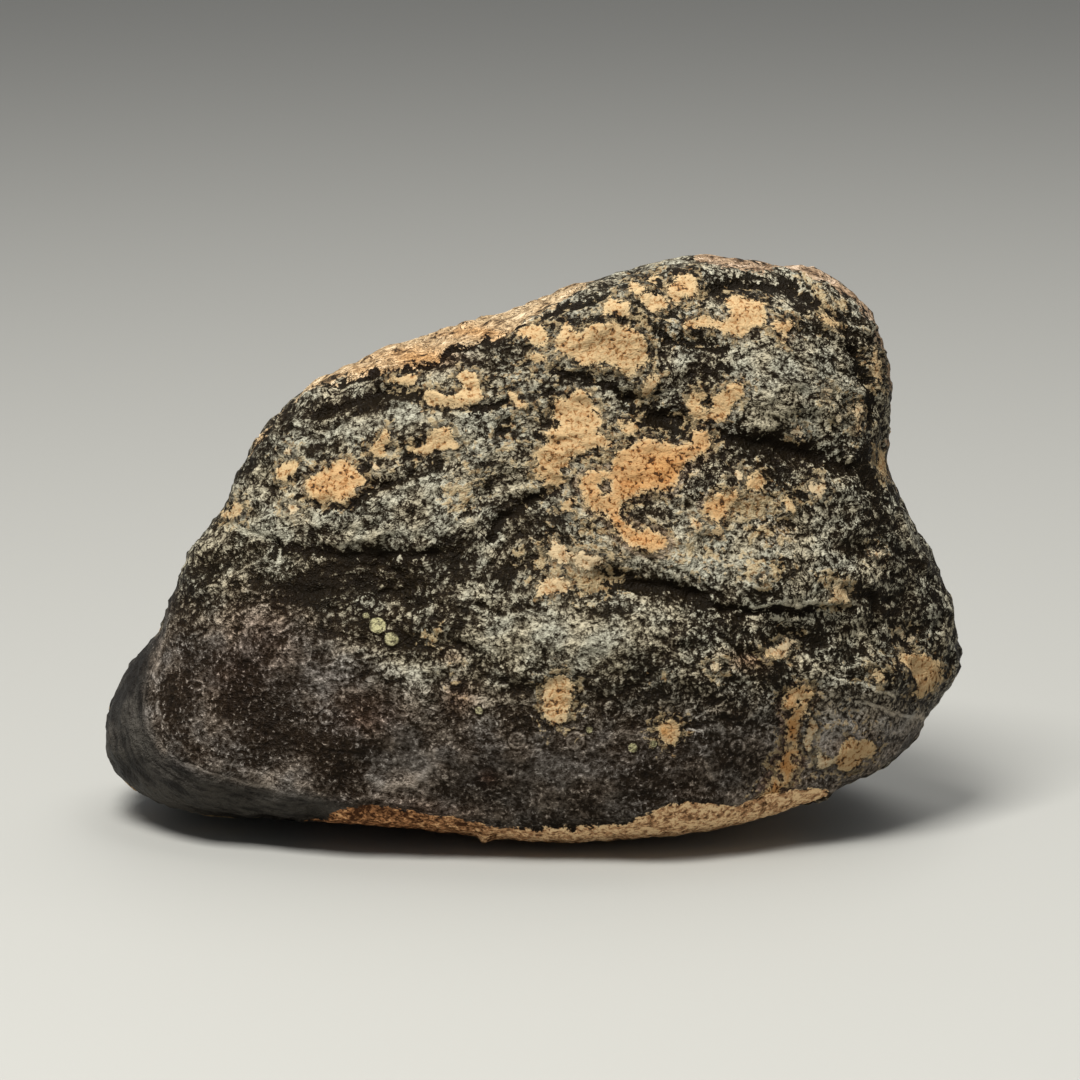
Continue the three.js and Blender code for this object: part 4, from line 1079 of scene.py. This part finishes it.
def texture_group():
    """The stone's fine texture: noise at three sizes, each about nothing, and its crumbs and gaps."""
    tree, n, given, result = new_group(
        "Stone texture",
        [("Place", None), ("Fine place", None)],
        ["Swirl", "Crumb", "Grit", "Gaps", "Fine gaps", "Crumb edge", "Crumb tone", "Outlines"],
    )
    swirl = n.math("SUBTRACT", n.noise(given["Place"], 0.95, 3.0, 0.62, 0.7), 0.5)
    crumb = n.math("SUBTRACT", n.noise(given["Place"], 2.2, 3.0, 0.66, 0.3), 0.5)
    grit = n.math("SUBTRACT", n.noise(given["Fine place"], 4.2, 2.0, 0.6, 0.4), 0.5)
    wide_gaps = n.band(swirl, 0.0, 0.034, 0.010)
    thin_gaps = n.band(swirl, 0.095, 0.022, 0.006)
    bend = n.add("ShaderNodeCombineXYZ", inputs={0: crumb, 1: grit, 2: swirl}).outputs[0]
    bent = n.add(
        "ShaderNodeVectorMath",
        operation="MULTIPLY_ADD",
        inputs={0: bend, 1: (0.8, 0.8, 0.8), 2: given["Place"]},
    ).outputs[0]
    crumbs = n.cells(bent, 2.5)
    pebbles = n.cells(bent, 1.75, "DISTANCE_TO_EDGE")
    outlines = n.step(pebbles["Distance"], 0.11, 0.03)
    n.feed(result["Swirl"], swirl)
    n.feed(result["Crumb"], crumb)
    n.feed(result["Grit"], grit)
    n.feed(result["Gaps"], n.math("MAXIMUM", wide_gaps, n.math("MULTIPLY", thin_gaps, 0.7)))
    n.feed(result["Fine gaps"], n.band(crumb, 0.0, 0.06, 0.012))
    n.feed(result["Crumb edge"], n.step(crumbs["Distance"], 0.40, 0.66))
    n.feed(result["Crumb tone"], n.math("SUBTRACT", n.parts(crumbs["Color"])[0], 0.5))
    n.feed(result["Outlines"], n.math("MULTIPLY", outlines, n.step(swirl, -0.14, 0.03)))
    return tree


def round_grain_group():
    """Round grains cut through, each a faint ring: a share of those that there is room for."""
    tree, n, given, result = new_group(
        "Round grains", [("Place", None), ("Scale", 0.6), ("Share", 0.3), ("Wander", 0.0)], ["Ring", "Body"]
    )
    cell = n.cells(given["Place"], given["Scale"], randomness=0.9)
    draws = n.parts(cell["Color"])
    shown = n.math("LESS_THAN", draws[0], given["Share"])
    radius = n.linear(draws[1], 0.12, 0.14)
    reach = n.math("SUBTRACT", n.math("ADD", cell["Distance"], given["Wander"]), radius)
    n.feed(result["Ring"], n.math("MULTIPLY", n.band(reach, 0.0, 0.05, 0.015), shown))
    n.feed(result["Body"], n.math("MULTIPLY", n.step(reach, 0.02, -0.03), shown))
    return tree


def mark_group():
    """A line with uneven edges: 1 within about a half-width of its middle, as strong as it is there."""
    inputs = [("Line", LINE_REACH), ("Strength", 0.0), ("Wander", 0.0)]
    tree, n, given, result = new_group("Mark", inputs, ["Mask"])
    reach = n.math("ADD", n.math("ABSOLUTE", given["Line"]), given["Wander"])
    strong = n.step(given["Strength"], 0.05, 0.5)
    n.feed(result["Mask"], n.math("MULTIPLY", n.step(reach, 1.25, 0.55), strong))
    return tree


def scaled(colour, share):
    return tuple(share * c for c in colour)


def added(colour, other, share):
    """The colour and a share of another one."""
    return tuple(c + share * o for c, o in zip(colour, other))


# ---- The stone's material ----


def shared_parts(n):
    """The texture, places and fields that several layers of the material use."""
    s = SimpleNamespace()
    position = n.add("ShaderNodeTexCoord").outputs["Object"]
    inputs = {0: position, "Scale": 1 / MM}
    s.place = n.add("ShaderNodeVectorMath", operation="SCALE", inputs=inputs).outputs[0]
    s.across = n.parts(s.place)["X"]
    texture = use_group(n, texture_group(), Place=n.attribute("grain_place", "Vector"), Fine_place=s.place)
    s.swirl, s.crumb, s.grit = texture["Swirl"], texture["Crumb"], texture["Grit"]
    s.gaps, s.fine_gaps, s.outlines = texture["Gaps"], texture["Fine gaps"], texture["Outlines"]
    s.crumb_edge, s.crumb_tone = texture["Crumb edge"], texture["Crumb tone"]
    s.wander = n.total(
        (s.swirl, 0.8), (s.crumb, 0.5), (s.grit, 0.6), (s.crumb_edge, -0.08), (s.crumb_tone, 0.10)
    )
    for name in ("shade", "rust", "calm", "even", "body", "grain_share"):
        setattr(s, name, n.attribute(name))
    s.rusty = n.math("MAXIMUM", s.rust, 0.0)
    s.big_ring = n.math("MULTIPLY_ADD", s.grit, 0.2, n.attribute("ring"))
    s.streaks = n.noise(n.attribute("streak_place", "Vector"), 4.2, 3.0, 0.72)
    return s


def crust_tone(n, s):
    """How pale the crust is: crumbs, their outlines and gaps, round grains, cracks with the painted shade and
    highlights of the lines, and specks.
    """
    lively = n.math("MULTIPLY", n.linear(s.calm, -0.9, 1.0), n.linear(s.even, -0.8, 1.0))
    crisp = n.math("MULTIPLY", lively, n.linear(n.step(s.across, 4.0, 11.0), 0.42, 1.0))
    black = n.math("MAXIMUM", n.math("MULTIPLY", s.gaps, 0.8), n.step(s.swirl, -0.07, -0.15))
    crumbly = n.total(
        (s.crumb, 1.5), (s.grit, 1.15), (s.swirl, 0.55), (black, -0.32), (s.fine_gaps, -0.10),
        (s.crumb_edge, -0.18), (s.crumb_tone, 0.30), (s.outlines, -0.34),
    )
    dots = n.step(s.grit, 0.11, 0.2)
    smooth = n.total((s.swirl, 0.25), (s.crumb, 0.5), (s.grit, 0.6), (dots, 0.24), start=-0.03)
    grainy = n.total(
        (s.crumb, 0.5), (s.grit, 1.3), (s.fine_gaps, -0.20), (s.crumb_edge, -0.10), (s.crumb_tone, 0.08)
    )
    tone = n.total(
        (crumbly, crisp), (smooth, s.calm), (grainy, s.even), (crisp, 0.135), start=s.grain_share
    )

    wander = n.math("MULTIPLY", s.grit, 0.15)
    small_ring = use_group(n, round_grain_group(), Place=s.place, Scale=0.62, Share=0.34, Wander=wander)
    outer_ring = n.band(s.big_ring, 0.06, 0.11, 0.03)
    inner_ring = n.band(s.big_ring, -0.12, 0.11, 0.03)
    body = n.math("MULTIPLY", n.step(s.big_ring, 0.0, -0.08), s.body)
    tone = n.total(
        (small_ring["Body"], -0.10), (small_ring["Ring"], 0.12), (outer_ring, n.linear(s.calm, 0.24, -0.36)),
        (inner_ring, 0.16), (body, 0.4), start=tone,
    )

    mark = mark_group()
    uneven = n.total((s.crumb, 3.0), (s.grit, 2.0))
    # The dark lines darken the tone as painted shade in the grooves; the pale lines lighten it as pale cracks
    # and folds, and as painted highlights along the lip.
    for name, share in (("dark", -0.75), ("pale", 0.6)):
        line, strength = n.attribute(name + "_line"), n.attribute(name + "_strength")
        mask = use_group(n, mark, Line=line, Strength=strength, Wander=uneven)["Mask"]
        tone = n.math("MULTIPLY_ADD", mask, share, tone)
    specks = n.math("MULTIPLY", n.step(s.grit, 0.15, 0.27), n.linear(s.calm, -0.08, 0.50))
    return n.math("MAXIMUM", tone, specks)


def crust_colour(n, s, settings):
    """The crust from black to pale grey, its pale grain partly a painted sheen, browner where it is rusty,
    and the dark streaked lobe.
    """
    dark, grey, bright = settings.crust_dark, settings.crust_grey, settings.crust_bright
    stops = [
        (0.0, scaled(dark, 0.4)),
        (0.24, scaled(dark, 0.8)),
        (0.36, added(dark, grey, 0.12)),
        (0.48, added(dark, grey, 0.33)),
        (0.62, added(dark, grey, 0.70)),
        (0.84, scaled(bright, 0.92)),
        (1.0, scaled(bright, 1.1)),
    ]
    crust = n.ramp(crust_tone(n, s), stops)
    crust = n.tinted(crust, WARM_TINT, n.step(s.shade, -0.5, 0.5))
    crust = n.tinted(crust, RUST_TINT, n.math("MULTIPLY", s.rusty, 0.8, clamp=True))
    crust = n.tinted(crust, CALM_TINT, s.calm)
    lobe = n.mix(n.step(n.math("ADD", s.streaks, s.grain_share), 0.74, 1.04), LOBE_DARK, LOBE_PALE)
    return n.mix(n.math("MULTIPLY", n.attribute("lobe_share"), 0.94), crust, lobe)


def with_patches(n, s, crust, settings):
    """The crust with its tan patches, a painted shade round their edges, the bits of tan between the crumbs
    around them, and their mask.
    """
    fuzz = n.total((n.step(s.across, -3.0, 1.0), 0.4), (s.calm, -0.4), start=0.6)
    torn = n.total((s.wander, 1.0), (s.fine_gaps, -0.10), (s.gaps, -0.12))
    distance = n.math("MULTIPLY_ADD", torn, fuzz, n.attribute("tan"))
    holes = n.step(n.total((s.grit, 1.0), (s.swirl, 0.3)), -0.09, -0.17)
    pores = n.math("MULTIPLY", n.step(s.grit, -0.025, -0.095), n.linear(s.rusty, -0.26, -0.12))
    tone = n.total(
        (s.crumb, 1.3), (s.grit, 1.4), (s.shade, 0.10), (s.swirl, 0.3), (holes, -0.12), (s.crumb_edge, -0.2),
        (pores, 1.0), (n.step(distance, 0.4, 0.05), 0.04), start=0.67,
    )
    orange, pale = settings.tan_orange, settings.tan_pale
    stops = [
        (0.0, PORE_BROWN),
        (0.16, scaled(orange, 0.42)),
        (0.38, added(scaled(orange, 0.4), pale, 0.36)),
        (0.62, scaled(pale, 0.92)),
        (1.0, scaled(pale, 1.04)),
    ]
    core = n.math("MULTIPLY", n.math("ADD", s.rusty, 0.15), n.step(distance, -0.05, 0.35), clamp=True)
    tan = n.tinted(n.ramp(tone, stops), ORANGE_TINT, core)
    tan = n.tinted(tan, CREAM_TINT, n.math("MULTIPLY", s.rust, -0.8, clamp=True))

    mottle = n.attribute("mottle")
    bits = n.step(n.total((mottle, 1.0), (s.swirl, 0.9), (s.crumb, 2.6)), 0.40, 0.66)
    bits = n.math("MULTIPLY", bits, n.step(mottle, 0.04, 0.14))
    colour = n.mix(n.math("MULTIPLY", bits, 0.8), crust, n.tinted(tan, BITS_TINT))
    # A broken black ring just outside each patch is a painted shade at its edge.
    broken = n.math("MULTIPLY_ADD", s.swirl, 3.0, 0.5, clamp=True)
    colour = n.mix(n.math("MULTIPLY", n.step(distance, -0.42, -0.1), broken), colour, PATCH_EDGE_SHADE)
    mask = n.step(distance, -0.07, 0.05)
    colour = n.mix(mask, colour, tan)
    in_cream = n.math("MULTIPLY", n.step(s.big_ring, 0.02, -0.06), n.step(s.body, 0.45, 0.65))
    cream = n.mix(n.step(tone, 0.3, 0.7), CREAM_DARK, CREAM_PALE)
    return n.mix(in_cream, colour, cream), mask


def with_skyline(n, s, colour):
    """The colour with the pale edges on the skyline, greyer to the right, and their mask."""
    mask = n.step(n.math("MULTIPLY_ADD", s.wander, 1.3, n.attribute("rim")), -0.03, 0.05)
    seams = n.band(s.streaks, 0.56, 0.022, 0.006)
    tone = n.total((s.crumb, 0.8), (s.grit, 0.8), (s.streaks, 2.6), (seams, -0.6), start=-0.76)
    rim = n.tinted(n.ramp(tone, RIM_STOPS), RIM_RUST_TINT, n.math("MULTIPLY", s.rusty, 0.9))
    rim = n.tinted(rim, RIM_RIGHT_TINT, n.step(s.across, 6.0, 11.0))
    return n.mix(mask, colour, rim), mask


def with_base(n, s, colour, settings):
    """The colour with the bare base, browner to the left, and its mask."""
    mask = n.step(n.math("MULTIPLY_ADD", s.wander, 0.8, n.attribute("base")), -0.03, 0.05)
    left = n.step(s.across, 2.0, -9.0)
    tone = n.total(
        (s.crumb, 2.1), (s.grit, 2.2), (s.swirl, 1.1), (s.crumb_edge, -0.2), (left, -0.5), start=0.88
    )
    tan = settings.base_tan
    stops = [(0.08, settings.base_brown), (0.42, scaled(tan, 0.52)), (0.7, tan), (1.0, BASE_PALE)]
    base = n.tinted(n.ramp(tone, stops), BASE_LEFT_TINT, left)
    return n.mix(mask, colour, base), mask


def stone_material(settings):
    material = bpy.data.materials.new("weathered_stone")
    material.use_nodes = True
    material.node_tree.nodes.clear()
    n = Nodes(material.node_tree)
    s = shared_parts(n)
    colour, in_patch = with_patches(n, s, crust_colour(n, s, settings), settings)
    colour, in_rim = with_skyline(n, s, colour)
    colour, in_base = with_base(n, s, colour, settings)
    bare = n.math("MAXIMUM", n.math("MAXIMUM", in_patch, in_base), in_rim)
    relief = n.total((s.crumb, 2.2), (s.grit, 1.0), (s.swirl, 1.6))
    relief = n.math("MULTIPLY", relief, n.linear(in_patch, -0.55, 1.0))
    bump = n.add("ShaderNodeBump", inputs={"Height": relief, "Strength": 1.0, "Distance": BUMP_HEIGHT})
    inputs = {
        "Base Color": colour,
        "Roughness": n.linear(bare, 0.3, 0.5),
        "Normal": bump.outputs[0],
        "Specular IOR Level": 0.05,
    }
    shader = n.add("ShaderNodeBsdfPrincipled", inputs=inputs)
    n.add("ShaderNodeOutputMaterial", inputs={"Surface": shader.outputs[0]})
    return material


# ---- Operators ----


class METEORITE_OT_stone(bpy.types.Operator):
    """Lays the stone's detailed skin over its solid"""

    bl_idname = "meteorite.stone"
    bl_label = "Stone"

    def execute(self, context):
        settings = context.scene.meteorite_stone
        stone = bpy.data.objects.new(SKIN, skin_mesh(settings))
        context.scene.collection.objects.link(stone)
        stone.data.materials.append(stone_material(settings))
        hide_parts("stone")
        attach(stone, "root")
        return {"FINISHED"}


class METEORITE_OT_stage(bpy.types.Operator):
    """Makes the floor, the soft lights and the camera"""

    bl_idname = "meteorite.stage"
    bl_label = "Stage"

    def execute(self, context):
        settings = context.scene.meteorite_stage
        self.floor(context, settings)
        self.light(context, "key", KEY_PLACE, KEY_SIZE, settings.key_power)
        self.light(context, "top", TOP_PLACE, TOP_SIZE, settings.top_power)
        world = bpy.data.worlds.new("room")
        world.use_nodes = True
        background = world.node_tree.nodes["Background"]
        background.inputs["Color"].default_value = (*ROOM_COLOUR, 1.0)
        background.inputs["Strength"].default_value = settings.sky
        context.scene.world = world
        context.scene.view_settings.view_transform = "Standard"
        self.camera(context, settings)
        return {"FINISHED"}

    def floor(self, context, settings):
        half = settings.floor_size / 2
        mesh = bpy.data.meshes.new("floor")
        corners = [(-half, -half, 0), (half, -half, 0), (half, half, 0), (-half, half, 0)]
        mesh.from_pydata(corners, [], [(0, 1, 2, 3)])
        floor = bpy.data.objects.new("floor", mesh)
        context.scene.collection.objects.link(floor)
        material = bpy.data.materials.new("floor")
        material.use_nodes = True
        shader = material.node_tree.nodes["Principled BSDF"]
        shader.inputs["Base Color"].default_value = (*settings.floor_colour, 1.0)
        shader.inputs["Roughness"].default_value = 0.6
        mesh.materials.append(material)

    def light(self, context, name, place, size, power):
        """A square light that points at the middle of the stone."""
        lamp = bpy.data.lights.new(name, "AREA")
        lamp.energy = power
        lamp.size = size
        light = bpy.data.objects.new(name, lamp)
        context.scene.collection.objects.link(light)
        light.location = place
        looking = Vector(LIGHT_AIM) - light.location
        light.rotation_euler = looking.to_track_quat("-Z", "Y").to_euler()

    def camera(self, context, settings):
        distance = EYE_DISTANCE * MM
        lens = bpy.data.cameras.new("camera")
        lens.sensor_width = 36.0
        lens.lens = LENS_LENGTH
        lens.clip_start = 0.01
        camera = bpy.data.objects.new("camera", lens)
        context.scene.collection.objects.link(camera)
        lean = settings.elevation
        across, up, depth = EYE_AIM
        y = FACE_FOOT[1] + up * math.sin(lean) + depth * math.cos(lean)
        z = up * math.cos(lean) - depth * math.sin(lean)
        aim = Vector((across + FACE_FOOT[0], y, z)) * MM
        looking = Vector((0, math.cos(lean), -math.sin(lean)))
        camera.location = aim - looking * distance
        camera.rotation_euler = looking.to_track_quat("-Z", "Y").to_euler()
        context.scene.camera = camera


class METEORITE_PT_panel(bpy.types.Panel):
    bl_label = "Meteorite"
    bl_space_type = "VIEW_3D"
    bl_region_type = "UI"
    bl_category = "Meteorite"

    def draw(self, context):
        scene = context.scene
        groups = (
            (scene.meteorite_stone, "meteorite.stone"),
            (scene.meteorite_stage, "meteorite.stage"),
        )
        for settings, operator in groups:
            box = self.layout.box()
            box.operator(operator)
            for name in settings.__annotations__:
                box.prop(settings, name)


CLASSES = (StoneSettings, StageSettings, METEORITE_OT_stone, METEORITE_OT_stage, METEORITE_PT_panel)


def register():
    for cls in CLASSES:
        bpy.utils.register_class(cls)
    bpy.types.Scene.meteorite_stone = PointerProperty(type=StoneSettings)
    bpy.types.Scene.meteorite_stage = PointerProperty(type=StageSettings)


def unregister():
    del bpy.types.Scene.meteorite_stage
    del bpy.types.Scene.meteorite_stone
    for cls in reversed(CLASSES):
        bpy.utils.unregister_class(cls)


def main():
    register()
    bpy.ops.meteorite.stone()
    bpy.ops.meteorite.stage()


if __name__ == "__main__":
    main()
